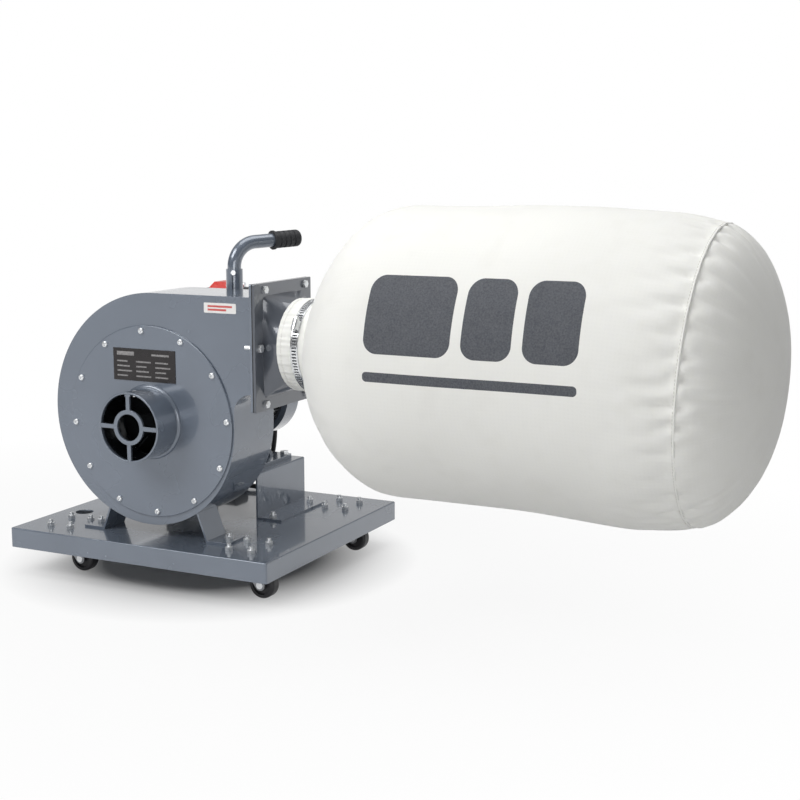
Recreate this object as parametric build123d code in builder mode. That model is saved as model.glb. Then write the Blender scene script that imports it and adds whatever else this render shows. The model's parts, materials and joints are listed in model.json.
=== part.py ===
from build123d import *
import os
from math import cos, radians, sin

# Portable dust collector: a radial blower on a wheeled tray blows into a fabric bag.
# Millimetres. The layout below is measured from the centre of the tray's top face; save()
# then shifts every piece so that the origin is on the shaft's axis, at the middle of the
# inlet pipe's seat for a hose. +X points along the outlet towards the bag, +Y towards the
# motor, so the inlet faces -Y. +Z is up.

os.makedirs("parts", exist_ok=True)

# ---------------------------------------------------------------- driving sizes

# Base tray, folded from sheet
tray_width = 440
tray_depth = 396
tray_skirt = 29
tray_sheet = 2
tray_top = 0
tray_height = 69
tray_corner = 3
cable_hole_radius = 14
cable_hole_place = (-182, -74)

# Swivel casters
caster_x = 156
caster_y = 138
wheel_radius = 20
wheel_width = 18
axle_level = wheel_radius - tray_height
caster_trail = 24
caster_bolt_spacing = (36, 48)
caster_plate_size = (50, 62)
caster_plate_sheet = 2.5
kingpin_radius = 4
axle_radius = 3
running_gap = 0.05

# Blower casing
shaft_height = tray_top + 168
casing_front = -145.5
casing_rear = -40
plate_sheet = 2.5
wrap_sheet = 2
scroll_right = 140
scroll_bottom = 151
scroll_left = 166.5
scroll_radii = (146, 160.5, 174.5)
tongue_radius = 28
duct_floor = 50
duct_end = 182

# Inlet cover and pipe
inlet_radius = 50
inlet_wall = 3
inlet_length = 50
cover_radius = 138
cover_sheet = 3
cover_screw_circle = 130.3
cover_screw_count = 12
cover_screw_turn = 4.3
guard_ring_outer = 25
guard_ring_inner = 19
guard_spoke = 6
guard_sheet = 4
guard_tab = (9, 3, 24)
weld_size = 4

# Outlet flange, hood and bag
flange_y = 152
flange_z = 174
flange_sheet = 3.5
gasket_sheet = 1.5
hood_sheet = 2
hood_reach = 24
spigot_radius = 60.5
spigot_length = 40
bag_cloth = 1.5
bag_neck_gap = 0.4
hem_width = 21
bag_length = 656
bag_radius = 195
bag_gores = 8
bag_shoulder = 166
shoulder_lead = 65
bag_rounding = 105
shoulder_fullness = 0.6
end_fullness = 0.66
band_width = 12
band_sheet = 1

# Motor and its pedestal
pedestal_half_width = 84
pedestal_front = 3
pedestal_rear = 145
pedestal_height = 70
pedestal_sheet = 3
pedestal_flange = 41
motor_radius = 58
motor_rear = 118
fan_cover_radius = 67.5
fan_cover_rear = 165
shaft_radius = 7.5
bearing_radius = 17.5
bearing_width = 11
impeller_radius = 115
blade_count = 8
blade_width = 58

# Switch on top of the motor
switch_x = 1
switch_y = 55
switch_width = 62
switch_depth = 64

# Handle
socket_radius = 12.2
socket_length = 80
handle_x = 70
handle_y = casing_rear + socket_radius
handle_radius = 10
handle_bend = 36
handle_turn = 60
handle_rise = 3


# ---------------------------------------------------------------- shared helpers

def save(part, name):
    """Labels a finished piece, shifts it to the hose seat's origin and writes it as its own node."""
    hose_seat = casing_front - cover_sheet - (inlet_length + weld_size) / 2
    placed = part.moved(Location((0, -hose_seat, -shaft_height)))
    placed.label = name
    export_step(placed, f"parts/{name}.step")


def casing_plane(y):
    """Plane square to the shaft, seen from the inlet. Its origin is on the shaft."""
    return Plane(origin=(0, y, shaft_height), x_dir=(1, 0, 0), z_dir=(0, -1, 0))


def outlet_plane(x):
    """Plane square to the outlet, seen from the bag. Its origin is on the outlet's centre line."""
    return Plane(origin=(x, outlet_y, outlet_z), x_dir=(0, 1, 0), z_dir=(1, 0, 0))


def ring(y_rear, y_front, outer, inner=0, mode=Mode.ADD):
    """Disc or tube round the shaft, between two depths, in the part being built."""
    with BuildSketch(casing_plane(y_rear)) as section:
        Circle(outer)
        if inner:
            Circle(inner, mode=Mode.SUBTRACT)
    extrude(section.sketch, amount=y_rear - y_front, mode=mode)


def hex_bolt(radius, length, across_flats, head_height):
    """Hexagon bolt standing on the XY plane: head above it, shank below it."""
    with BuildPart() as bolt:
        with BuildSketch():
            RegularPolygon(across_flats / 2, 6, major_radius=False)
        extrude(amount=head_height)
        crown = bolt.faces().sort_by(Axis.Z)[-1]
        chamfer(crown.edges(), head_height * 0.15)
        with BuildSketch():
            Circle(radius)
        extrude(amount=-length)
    return bolt.part


def hex_nut(radius, across_flats, height):
    """Hexagon nut hanging below the XY plane."""
    with BuildPart() as nut:
        with BuildSketch():
            RegularPolygon(across_flats / 2, 6, major_radius=False)
            Circle(radius + running_gap, mode=Mode.SUBTRACT)
        extrude(amount=-height)
    return nut.part


def pan_screw(radius, length, head_radius, head_height):
    """Domed screw standing on the XY plane, with a cross recess in its head."""
    recess = head_height / 2
    with BuildPart() as screw:
        with BuildSketch():
            Circle(head_radius)
        extrude(amount=head_height)
        fillet(screw.faces().sort_by(Axis.Z)[-1].edges(), head_height * 0.6)
        with BuildSketch(Plane.XY.offset(head_height - recess)):
            Rectangle(head_radius, head_radius / 4)
            Rectangle(head_radius / 4, head_radius)
        extrude(amount=head_height, mode=Mode.SUBTRACT)
        with BuildSketch():
            Circle(radius)
        extrude(amount=-length)
    return screw.part


# ---------------------------------------------------------------- base tray

foot_bolt_x = 113
foot_bolt_y = -121
pedestal_bolt_x = 105
pedestal_bolt_y = (12.5, 124.5)
m6_hole = 3.3
caster_centres = [(x, y) for y in (-caster_y, caster_y) for x in (-caster_x, caster_x)]
pedestal_bolts = [(x, y) for y in pedestal_bolt_y for x in (-pedestal_bolt_x, pedestal_bolt_x)]
foot_bolts = [(-foot_bolt_x, foot_bolt_y), (foot_bolt_x, foot_bolt_y)]

with BuildPart() as base_tray:
    with BuildSketch(Plane.XY.offset(tray_top - tray_skirt)):
        RectangleRounded(tray_width, tray_depth, tray_corner)
    extrude(amount=tray_skirt)
    fillet(base_tray.faces().sort_by(Axis.Z)[-1].edges(), tray_sheet * 0.9)
    with BuildSketch(Plane.XY.offset(tray_top - tray_skirt)):
        Rectangle(tray_width - 2 * tray_sheet, tray_depth - 2 * tray_sheet)
    extrude(amount=tray_skirt - tray_sheet, mode=Mode.SUBTRACT)
    with BuildSketch(Plane.XY.offset(tray_top)):
        with Locations(*caster_centres):
            with GridLocations(*caster_bolt_spacing, 2, 2):
                Circle(m6_hole)
        with Locations(*pedestal_bolts, *foot_bolts):
            Circle(m6_hole)
        with Locations(cable_hole_place):
            Circle(cable_hole_radius)
    extrude(amount=-2 * tray_sheet, mode=Mode.SUBTRACT)
save(base_tray.part, "base_tray")

# ---------------------------------------------------------------- casters

m6_radius = 3
m6_head = (10, 4)
tray_underside = tray_top - tray_sheet
plate_underside = tray_underside - caster_plate_sheet
race_radius = 13
race_height = 3
crown_gap = 0.2
crown_sheet = 2.5
crown_radius = 15
crown_top = plate_underside - race_height - crown_gap
crown_bottom = crown_top - crown_sheet
kingpin_head = (7, 3)
fork_gap = 1.5
fork_sheet = 2
fork_inside = wheel_width / 2 + fork_gap
fork_outside = fork_inside + fork_sheet
fork_tip = 7.5
fork_shoulder = 13
axle_cap = (5, 1.5)

with BuildPart() as caster_plates:
    with BuildSketch(Plane.XY.offset(plate_underside)):
        with Locations(*caster_centres):
            RectangleRounded(*caster_plate_size, 5)
            with GridLocations(*caster_bolt_spacing, 2, 2):
                Circle(m6_hole, mode=Mode.SUBTRACT)
    extrude(amount=caster_plate_sheet)
    with BuildSketch(Plane.XY.offset(plate_underside)):
        with Locations(*caster_centres):
            Circle(race_radius)
    extrude(amount=-race_height)
    with BuildSketch(Plane.XY.offset(tray_underside)):
        with Locations(*caster_centres):
            Circle(kingpin_radius)
    extrude(amount=-caster_plate_sheet - race_height, mode=Mode.SUBTRACT)

with BuildPart() as kingpins:
    with BuildSketch(Plane.XY.offset(tray_underside)):
        with Locations(*caster_centres):
            Circle(kingpin_radius)
    extrude(amount=-(tray_underside - crown_bottom + crown_gap))
    with BuildSketch(Plane.XY.offset(crown_bottom - crown_gap)):
        with Locations(*caster_centres):
            Circle(kingpin_head[0])
    extrude(amount=-kingpin_head[1])

# Each plate holds its riveted kingpin, so the plates and rivets are one group of solids.
caster_plates_and_rivets = Compound(children=[*caster_plates.solids(), *kingpins.solids()])
save(caster_plates_and_rivets, "caster_plates")

for place, (x, y) in zip(("front_left", "front_right", "rear_left", "rear_right"), caster_centres):
    axle_x = x + caster_trail
    side_plane = Plane(origin=(0, y, 0), x_dir=(1, 0, 0), z_dir=(0, -1, 0))

    with BuildPart() as fork:
        for inner_face in (-fork_outside, fork_inside):
            with BuildSketch(side_plane.offset(inner_face)):
                with Locations((axle_x, axle_level)):
                    Circle(fork_tip)
                with Locations((x, crown_bottom)):
                    Rectangle(2 * fork_shoulder, crown_sheet)
                make_hull()
                with Locations((axle_x, axle_level)):
                    Circle(axle_radius, mode=Mode.SUBTRACT)
            extrude(amount=fork_sheet)
        with BuildSketch(Plane((x, y, crown_bottom))):
            Circle(crown_radius)
        extrude(amount=crown_sheet)
        with BuildSketch(Plane((x, y, crown_bottom))):
            Circle(kingpin_radius + running_gap)
        extrude(amount=crown_sheet, mode=Mode.SUBTRACT)
    save(fork.part, f"caster_fork_{place}")

    with BuildPart() as axle:
        with BuildSketch(side_plane.offset(-fork_outside)):
            with Locations((axle_x, axle_level)):
                Circle(axle_radius)
        extrude(amount=2 * fork_outside)
        for start in (-fork_outside - axle_cap[1], fork_outside):
            with BuildSketch(side_plane.offset(start)):
                with Locations((axle_x, axle_level)):
                    Circle(axle_cap[0])
            extrude(amount=axle_cap[1])
    save(axle.part, f"caster_axle_{place}")

    tread_round = 4
    hub_radius = 6
    web_radius = 14
    web_recess = 3
    hub_half = fork_inside - 0.3
    with BuildPart() as wheel:
        with BuildSketch(side_plane.offset(-wheel_width / 2)):
            with Locations((axle_x, axle_level)):
                Circle(wheel_radius)
        extrude(amount=wheel_width)
        fillet(wheel.edges().filter_by(GeomType.CIRCLE), tread_round)
        for start in (-wheel_width / 2, wheel_width / 2 - web_recess):
            with BuildSketch(side_plane.offset(start)):
                with Locations((axle_x, axle_level)):
                    Circle(web_radius)
            extrude(amount=web_recess, mode=Mode.SUBTRACT)
        with BuildSketch(side_plane.offset(-hub_half)):
            with Locations((axle_x, axle_level)):
                Circle(hub_radius)
        extrude(amount=2 * hub_half)
        with BuildSketch(side_plane.offset(-hub_half)):
            with Locations((axle_x, axle_level)):
                Circle(axle_radius + running_gap)
        extrude(amount=2 * hub_half, mode=Mode.SUBTRACT)
    save(wheel.part, f"caster_wheel_{place}")

# ---------------------------------------------------------------- blower casing

# The scroll grows in three quarter arcs, each wider than the last and sharing its end
# tangent, so the wall runs smoothly from the tongue round to the flat duct roof.
first_radius, second_radius, third_radius = scroll_radii
first_centre = (scroll_right - first_radius, first_radius - scroll_bottom)
second_centre = (first_centre[0], second_radius - scroll_bottom)
third_centre = (third_radius - scroll_left, second_centre[1])
duct_roof = third_centre[1] + third_radius
tongue_foot = duct_floor - tongue_radius
outlet_y = (casing_front + casing_rear) / 2
outlet_z = shaft_height + (duct_floor + duct_roof) / 2

with BuildSketch() as scroll_outline:
    with BuildLine():
        Line((duct_end, duct_floor), (scroll_right + tongue_radius, duct_floor))
        CenterArc((scroll_right + tongue_radius, tongue_foot), tongue_radius, 90, 90)
        Line((scroll_right, tongue_foot), (scroll_right, first_centre[1]))
        CenterArc(first_centre, first_radius, 0, -90)
        CenterArc(second_centre, second_radius, -90, -90)
        CenterArc(third_centre, third_radius, 180, -90)
        Line((third_centre[0], duct_roof), (duct_end, duct_roof))
        Line((duct_end, duct_roof), (duct_end, duct_floor))
    make_face()

with BuildPart() as scroll_wrap:
    with BuildSketch(casing_plane(casing_rear - plate_sheet)):
        add(scroll_outline.sketch)
        offset(amount=-wrap_sheet, kind=Kind.INTERSECTION, mode=Mode.SUBTRACT)
        with Locations((duct_end, (duct_floor + duct_roof) / 2)):
            Rectangle(3 * wrap_sheet, duct_roof - duct_floor - 2 * wrap_sheet, mode=Mode.SUBTRACT)
    extrude(amount=casing_rear - casing_front - 2 * plate_sheet)
save(scroll_wrap.part, "scroll_wrap")

m5_radius = 2.5
screw_gap = 0.2
mouth_radius = 122
with BuildPart() as front_plate:
    with BuildSketch(casing_plane(casing_front + plate_sheet)):
        add(scroll_outline.sketch)
        Circle(mouth_radius, mode=Mode.SUBTRACT)
        with PolarLocations(cover_screw_circle, cover_screw_count, 90 + cover_screw_turn):
            Circle(m5_radius + screw_gap, mode=Mode.SUBTRACT)
    extrude(amount=plate_sheet)
save(front_plate.part, "front_plate")

boss_radius = 30
with BuildPart() as rear_plate:
    with BuildSketch(casing_plane(casing_rear)):
        add(scroll_outline.sketch)
        Circle(boss_radius, mode=Mode.SUBTRACT)
    extrude(amount=plate_sheet)
save(rear_plate.part, "rear_plate")

# Folded feet: each leg leans in under the scroll and its flange is bolted to the tray.
foot_sheet = 3
foot_width = 48
foot_rear = -97
foot_bend_x = 92
foot_flange_x = 125
leg_height = 62
leg_lean = 14 / 37
tray_level = tray_top - shaft_height
for side, name in ((-1, "casing_foot_left"), (1, "casing_foot_right")):
    lean = leg_lean * leg_height
    with BuildPart() as foot:
        with BuildSketch(casing_plane(foot_rear)):
            with BuildLine():
                Polyline(
                    (side * foot_flange_x, tray_level),
                    (side * (foot_bend_x - foot_sheet), tray_level),
                    (side * (foot_bend_x - foot_sheet - lean), tray_level + leg_height),
                    (side * (foot_bend_x - lean), tray_level + leg_height),
                    (side * (foot_bend_x - leg_lean * foot_sheet), tray_level + foot_sheet),
                    (side * foot_flange_x, tray_level + foot_sheet),
                    close=True,
                )
            make_face()
            add(scroll_outline.sketch, mode=Mode.SUBTRACT)
        extrude(amount=foot_width)
        with BuildSketch(Plane.XY.offset(tray_top)):
            with Locations((side * foot_bolt_x, foot_bolt_y)):
                Circle(m6_hole)
        extrude(amount=foot_sheet, mode=Mode.SUBTRACT)
    save(foot.part, name)

sheet_bolt = hex_bolt(m6_radius, 14, *m6_head).rotate(Axis.X, 180)
sheet_nut = hex_nut(m6_radius, 10, 5).rotate(Axis.X, 180)


def stacked(level, places):
    """Every place in a list of (x, y) points, at one height."""
    return Locations(*[Location((x, y, level)) for x, y in places])


# One pattern of bolt and nut holds the casters, the casing feet and the pedestal. The heads
# sit below the tray and the nuts on top.
caster_bolts = [
    (x + side_x * caster_bolt_spacing[0] / 2, y + side_y * caster_bolt_spacing[1] / 2)
    for x, y in caster_centres
    for side_x in (-1, 1)
    for side_y in (-1, 1)
]
with BuildPart() as tray_fasteners:
    with stacked(plate_underside, caster_bolts):
        add(sheet_bolt)
    with stacked(tray_underside, foot_bolts + pedestal_bolts):
        add(sheet_bolt)
    with stacked(tray_top, caster_bolts):
        add(sheet_nut)
    with stacked(tray_top + foot_sheet, foot_bolts):
        add(sheet_nut)
    with stacked(tray_top + pedestal_sheet, pedestal_bolts):
        add(sheet_nut)
save(tray_fasteners.part, "tray_fasteners")

# ---------------------------------------------------------------- inlet

with BuildPart() as inlet_cover:
    with BuildSketch(casing_plane(casing_front)):
        Circle(cover_radius)
        Circle(inlet_radius - inlet_wall, mode=Mode.SUBTRACT)
        with PolarLocations(cover_screw_circle, cover_screw_count, 90 + cover_screw_turn):
            Circle(m5_radius + screw_gap, mode=Mode.SUBTRACT)
    extrude(amount=cover_sheet)
    rim = inlet_cover.edges().filter_by(GeomType.CIRCLE).group_by(Axis.Y)[0].sort_by(SortBy.RADIUS)[-1]
    fillet(rim, cover_sheet / 3)
save(inlet_cover.part, "inlet_cover")

cover_face = casing_front - cover_sheet
pipe_mouth = cover_face - inlet_length
m4_radius = 2
guard_screw_y = pipe_mouth + 16
guard_screw_head = (3.6, 1.5)
guard_screw_recess = 1.7
shaft_axis = Axis((0, 0, shaft_height), (0, 1, 0))
with BuildPart() as inlet_pipe:
    ring(cover_face, pipe_mouth, inlet_radius, inlet_radius - inlet_wall)
    fillet(inlet_pipe.edges().group_by(Axis.Y)[0], inlet_wall / 4)
    with BuildSketch(Plane(origin=(0, cover_face, shaft_height), x_dir=(0, -1, 0), z_dir=(1, 0, 0))):
        with BuildLine():
            Line((0, inlet_radius - inlet_wall / 2), (0, inlet_radius + weld_size))
            RadiusArc((0, inlet_radius + weld_size), (weld_size, inlet_radius), weld_size)
            Line((weld_size, inlet_radius), (weld_size, inlet_radius - inlet_wall / 2))
            Line((weld_size, inlet_radius - inlet_wall / 2), (0, inlet_radius - inlet_wall / 2))
        make_face()
    revolve(axis=shaft_axis)
    with BuildSketch(Plane((0, guard_screw_y, shaft_height))):
        Circle(m4_radius)
    extrude(amount=inlet_radius + weld_size, mode=Mode.SUBTRACT)
    with BuildSketch(Plane((0, guard_screw_y, shaft_height + inlet_radius - guard_screw_recess))):
        Circle(guard_screw_head[0] + screw_gap)
    extrude(amount=weld_size, mode=Mode.SUBTRACT)
save(inlet_pipe.part, "inlet_pipe")

pipe_bore = inlet_radius - inlet_wall
with BuildPart() as inlet_guard:
    with BuildSketch(casing_plane(pipe_mouth + guard_sheet)):
        Circle(guard_ring_outer)
        with PolarLocations((pipe_bore + guard_ring_inner) / 2, 4):
            Rectangle(pipe_bore - guard_ring_inner + 2, guard_spoke)
        Circle(guard_ring_inner, mode=Mode.SUBTRACT)
        Circle(pipe_bore, mode=Mode.INTERSECT)
    extrude(amount=guard_sheet)
    # A tab folded back under the top of the pipe takes the guard's screw.
    with BuildSketch(casing_plane(pipe_mouth + guard_tab[2])):
        with Locations((0, pipe_bore - guard_tab[1] / 2)):
            Rectangle(guard_tab[0], guard_tab[1])
        Circle(pipe_bore, mode=Mode.INTERSECT)
    extrude(amount=guard_tab[2])
    with BuildSketch(Plane((0, guard_screw_y, shaft_height + pipe_bore))):
        Circle(m4_radius)
    extrude(amount=-10, mode=Mode.SUBTRACT)
save(inlet_guard.part, "inlet_guard")

with BuildPart() as guard_screw:
    with Locations(Location((0, guard_screw_y, shaft_height + inlet_radius - guard_screw_recess))):
        add(pan_screw(m4_radius, 7, *guard_screw_head))
save(guard_screw.part, "guard_screw")

cover_screw = pan_screw(m5_radius, cover_sheet + plate_sheet + 3, 4.4, 3)
with BuildPart() as cover_screws:
    with Locations(casing_plane(cover_face)):
        with PolarLocations(cover_screw_circle, cover_screw_count, 90 + cover_screw_turn):
            add(cover_screw)
save(cover_screws.part, "cover_screws")

# A thin plate riveted above the pipe carries the machine's data.
nameplate_size = (106, 46)
nameplate_place = (-6, 81)
nameplate_sheet = 0.8
with BuildPart() as nameplate:
    with BuildSketch(casing_plane(cover_face)):
        with Locations(nameplate_place):
            Rectangle(*nameplate_size)
    extrude(amount=nameplate_sheet)
save(nameplate.part, "nameplate")

# ---------------------------------------------------------------- outlet

duct_inside_y = casing_rear - casing_front - 2 * plate_sheet
duct_inside_z = duct_roof - duct_floor - 2 * wrap_sheet
flange_front_bolt = -50
flange_rear_bolt = 58
flange_side_bolt = 64
flange_row = flange_z / 2 - 9
flange_bolts = [(y, z) for z in (-flange_row, flange_row) for y in (flange_front_bolt, flange_rear_bolt)]
flange_bolts += [(-flange_side_bolt, 0), (flange_side_bolt, 0)]
gasket_face = duct_end + flange_sheet
hood_face = gasket_face + gasket_sheet
hood_front = hood_face + flange_sheet


def flange_frame(x, thickness):
    """Rectangular frame round the duct's mouth, drilled for the flange bolts."""
    with BuildSketch(outlet_plane(x)) as frame:
        RectangleRounded(flange_y, flange_z, 2)
        Rectangle(duct_inside_y, duct_inside_z, mode=Mode.SUBTRACT)
        with Locations(*flange_bolts):
            Circle(m6_hole, mode=Mode.SUBTRACT)
    extrude(frame.sketch, amount=thickness)


with BuildPart() as outlet_flange:
    flange_frame(duct_end, flange_sheet)
save(outlet_flange.part, "outlet_flange")

with BuildPart() as outlet_gasket:
    flange_frame(gasket_face, gasket_sheet)
save(outlet_gasket.part, "outlet_gasket")

hood_base = (112, 144)
hood_end = hood_front + hood_reach
spigot_end = hood_end + spigot_length
with BuildPart() as transition_hood:
    flange_frame(hood_face, flange_sheet)
    with BuildSketch(outlet_plane(hood_face)):
        RectangleRounded(*hood_base, 4)
    with BuildSketch(outlet_plane(hood_end)):
        Circle(spigot_radius)
    loft(mode=Mode.ADD)
    with BuildSketch(outlet_plane(hood_end)):
        Circle(spigot_radius)
    extrude(amount=spigot_length)
    with BuildSketch(outlet_plane(hood_face)):
        RectangleRounded(hood_base[0] - 4 * hood_sheet, hood_base[1] - 4 * hood_sheet, 2)
    with BuildSketch(outlet_plane(hood_end)):
        Circle(spigot_radius - hood_sheet)
    loft(mode=Mode.SUBTRACT)
    with BuildSketch(outlet_plane(hood_end)):
        Circle(spigot_radius - hood_sheet)
    extrude(amount=spigot_length, mode=Mode.SUBTRACT)
save(transition_hood.part, "transition_hood")

flange_bolt = hex_bolt(m6_radius, 23, *m6_head)
flange_nut = hex_nut(m6_radius, 10, 5)
with BuildPart() as flange_fasteners:
    with Locations(outlet_plane(hood_front)):
        with Locations(*flange_bolts):
            add(flange_bolt)
    with Locations(outlet_plane(duct_end)):
        with Locations(*flange_bolts):
            add(flange_nut)
save(flange_fasteners.part, "flange_fasteners")

# ---------------------------------------------------------------- bag and band clamp

bag_start = hood_end + 1
neck_radius = spigot_radius + bag_neck_gap + bag_cloth
band_start = bag_start + hem_width
flare_start = band_start + band_width + 1
bag_end = bag_start + bag_length
bag_plane = Plane(origin=(0, outlet_y, outlet_z), x_dir=(1, 0, 0), z_dir=(0, -1, 0))
outlet_axis = Axis((0, outlet_y, outlet_z), (1, 0, 0))


def quarter_curve(start, corner, end, fullness):
    """Quarter oval from start to end, drawn towards the corner. 0.55 gives an ellipse."""
    Bezier(
        start,
        Vector(*start) + (Vector(*corner) - Vector(*start)) * fullness,
        Vector(*end) + (Vector(*corner) - Vector(*end)) * fullness,
        end,
    )


def bag_profile(inset):
    """Half section of the filled bag: neck, rounded shoulder, long barrel, blunt round end."""
    barrel = bag_radius - inset
    neck = neck_radius - inset
    flare = flare_start + inset
    shoulder = flare_start + bag_shoulder
    rounding = bag_end - bag_rounding
    tip = bag_end - inset
    with BuildSketch() as profile:
        with BuildLine():
            Polyline((tip, 0), (bag_start, 0), (bag_start, neck), (flare, neck))
            quarter_curve((flare, neck), (flare + shoulder_lead, barrel), (shoulder, barrel), shoulder_fullness)
            Line((shoulder, barrel), (rounding, barrel))
            quarter_curve((rounding, barrel), (tip, barrel), (tip, 0), end_fullness)
        make_face()
    return profile.sketch


# The cloth shell is parted into lengthwise gores, and across at the band, the shoulder
# and the end panel, by a hair's width. Each solid is then simple and the bag stays hollow.
cuts = (bag_start, flare_start, flare_start + bag_shoulder, bag_end - bag_rounding, bag_end)
gore_angle = 360 / bag_gores
gore_gap = 0.02
bag_solids = []
for start, end in zip(cuts[:-1], cuts[1:]):
    with BuildSketch(bag_plane) as section:
        add(bag_profile(0))
        add(bag_profile(bag_cloth), mode=Mode.SUBTRACT)
        with Locations(((start + end) / 2, bag_radius)):
            Rectangle(end - start - gore_gap, 2 * bag_radius + 2, mode=Mode.INTERSECT)
    with BuildPart() as cloth:
        revolve(section.sketch, axis=outlet_axis, revolution_arc=gore_angle - gore_gap)
    bag_solids += [cloth.solid().rotate(outlet_axis, gore * gore_angle) for gore in range(bag_gores)]
save(Compound(children=bag_solids), "dust_bag")

band_radius = neck_radius + 0.1
lug_turn = 150
lug_size = (16, 10, 13)
with BuildPart() as band_clamp:
    with BuildSketch(outlet_plane(band_start)):
        Circle(band_radius + band_sheet)
        Circle(band_radius, mode=Mode.SUBTRACT)
    extrude(amount=band_width)
    with BuildSketch(outlet_plane(band_start + 0.5)):
        with PolarLocations(band_radius + band_sheet + lug_size[1] / 2 - 0.5, 1, lug_turn):
            RectangleRounded(lug_size[1], lug_size[0], 2)
            Circle(3, mode=Mode.SUBTRACT)
    extrude(amount=band_width - 1)
save(band_clamp.part, "band_clamp")

# ---------------------------------------------------------------- motor pedestal and feet

pedestal_top = tray_top + pedestal_height
pedestal_length = pedestal_rear - pedestal_front
foot_plate = 6
foot_half_width = 69
motor_bolt_x = 60
motor_bolt_y = (26, 124)
motor_bolts = [(x, y) for y in motor_bolt_y for x in (-motor_bolt_x, motor_bolt_x)]
m8_radius = 4
m8_hole = 4.3

with BuildPart() as motor_pedestal:
    with BuildSketch(Plane(origin=(0, pedestal_rear, tray_top), x_dir=(1, 0, 0), z_dir=(0, -1, 0))):
        with BuildLine() as hat:
            half = [
                (0, pedestal_height),
                (pedestal_half_width, pedestal_height),
                (pedestal_half_width, pedestal_sheet),
                (pedestal_half_width + pedestal_flange, pedestal_sheet),
                (pedestal_half_width + pedestal_flange, 0),
                (pedestal_half_width - pedestal_sheet, 0),
                (pedestal_half_width - pedestal_sheet, pedestal_height - pedestal_sheet),
                (0, pedestal_height - pedestal_sheet),
            ]
            Polyline(*half, close=True)
        make_face()
        mirror(about=Plane.YZ)
    extrude(amount=pedestal_length)
    bend = motor_pedestal.edges().filter_by(Axis.Y).group_by(Axis.Z)[-1]
    fillet(bend, pedestal_sheet * 0.8)
    with BuildSketch(Plane.XY.offset(tray_top)):
        with Locations(*pedestal_bolts):
            Circle(m6_hole)
    extrude(amount=pedestal_sheet, mode=Mode.SUBTRACT)
    with BuildSketch(Plane.XY.offset(pedestal_top)):
        with Locations(*motor_bolts):
            Circle(m8_hole)
    extrude(amount=-pedestal_sheet, mode=Mode.SUBTRACT)
save(motor_pedestal.part, "motor_pedestal")

with BuildPart() as motor_foot:
    with BuildSketch(Plane.XY.offset(pedestal_top)):
        with Locations((0, sum(motor_bolt_y) / 2)):
            RectangleRounded(2 * foot_half_width, motor_bolt_y[1] - motor_bolt_y[0] + 22, 6)
        with Locations(*motor_bolts):
            Circle(m8_hole, mode=Mode.SUBTRACT)
    extrude(amount=foot_plate)
    for web_y in (40, 110):
        with BuildSketch(casing_plane(web_y)):
            with Locations((0, pedestal_top + foot_plate - shaft_height)):
                Trapezoid(96, motor_radius + 4, 62, align=(Align.CENTER, Align.MIN))
            Circle(motor_radius, mode=Mode.SUBTRACT)
            with Locations((0, motor_radius / 2)):
                Rectangle(4 * motor_radius, motor_radius, mode=Mode.SUBTRACT)
        extrude(amount=8)
save(motor_foot.part, "motor_foot")

motor_bolt = hex_bolt(m8_radius, 18, 13, 5.3)
motor_nut = hex_nut(m8_radius, 13, 6.5)
with BuildPart() as motor_foot_fasteners:
    with Locations(Location((0, 0, pedestal_top + foot_plate))):
        with Locations(*motor_bolts):
            add(motor_bolt)
    with Locations(Location((0, 0, pedestal_top - pedestal_sheet))):
        with Locations(*motor_bolts):
            add(motor_nut)
save(motor_foot_fasteners.part, "motor_foot_fasteners")

# ---------------------------------------------------------------- motor

bell_front = casing_rear
bell_front_depth = 28
body_front = bell_front + bell_front_depth
bell_rear_depth = 14
bell_rear_end = motor_rear + bell_rear_depth
shell_wall = 4
spigot_wall = 6
tie_bolt_circle = motor_radius - 12
tie_bolt_turn = 0

# Cast shell with low cooling ribs; the flat crown carries the terminal box.
rib_count = 36
rib_height = 3
crown_width = 60
with BuildPart() as motor_shell:
    with BuildSketch(casing_plane(motor_rear)):
        Circle(motor_radius - rib_height)
        with PolarLocations(motor_radius - rib_height / 2 - 0.6, rib_count):
            Rectangle(rib_height + 1, 3)
        with Locations((0, motor_radius - rib_height)):
            Rectangle(crown_width, 2 * rib_height)
        Circle(motor_radius - rib_height - shell_wall, mode=Mode.SUBTRACT)
    extrude(amount=motor_rear - body_front)
save(motor_shell.part, "motor_shell")

with BuildPart() as motor_bell_front:
    ring(body_front, bell_front, motor_radius)
    ring(body_front, bell_front + spigot_wall, motor_radius - 8, bearing_radius + spigot_wall, Mode.SUBTRACT)
    ring(body_front, body_front - bearing_width - 4, bearing_radius, 0, Mode.SUBTRACT)
    ring(body_front, bell_front, shaft_radius + 0.5, 0, Mode.SUBTRACT)
    with BuildSketch(casing_plane(body_front)):
        with PolarLocations(tie_bolt_circle, 4, tie_bolt_turn):
            Circle(m4_radius)
    extrude(amount=bell_front_depth, mode=Mode.SUBTRACT)
save(motor_bell_front.part, "motor_bell_front")

with BuildPart() as motor_bell_rear:
    ring(bell_rear_end, motor_rear, motor_radius)
    ring(motor_rear + bearing_width, motor_rear, bearing_radius, 0, Mode.SUBTRACT)
    ring(bell_rear_end, motor_rear, shaft_radius + 0.5, 0, Mode.SUBTRACT)
    with BuildSketch(casing_plane(bell_rear_end)):
        with PolarLocations(tie_bolt_circle, 4, tie_bolt_turn):
            Circle(m4_radius)
    extrude(amount=bell_rear_depth, mode=Mode.SUBTRACT)
save(motor_bell_rear.part, "motor_bell_rear")

with BuildPart() as motor_bearings:
    front_seat = body_front - bearing_width - 4
    ring(front_seat + bearing_width, front_seat, bearing_radius, shaft_radius + running_gap)
    ring(motor_rear + bearing_width, motor_rear, bearing_radius, shaft_radius + running_gap)
save(motor_bearings.part, "motor_bearings")

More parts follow.
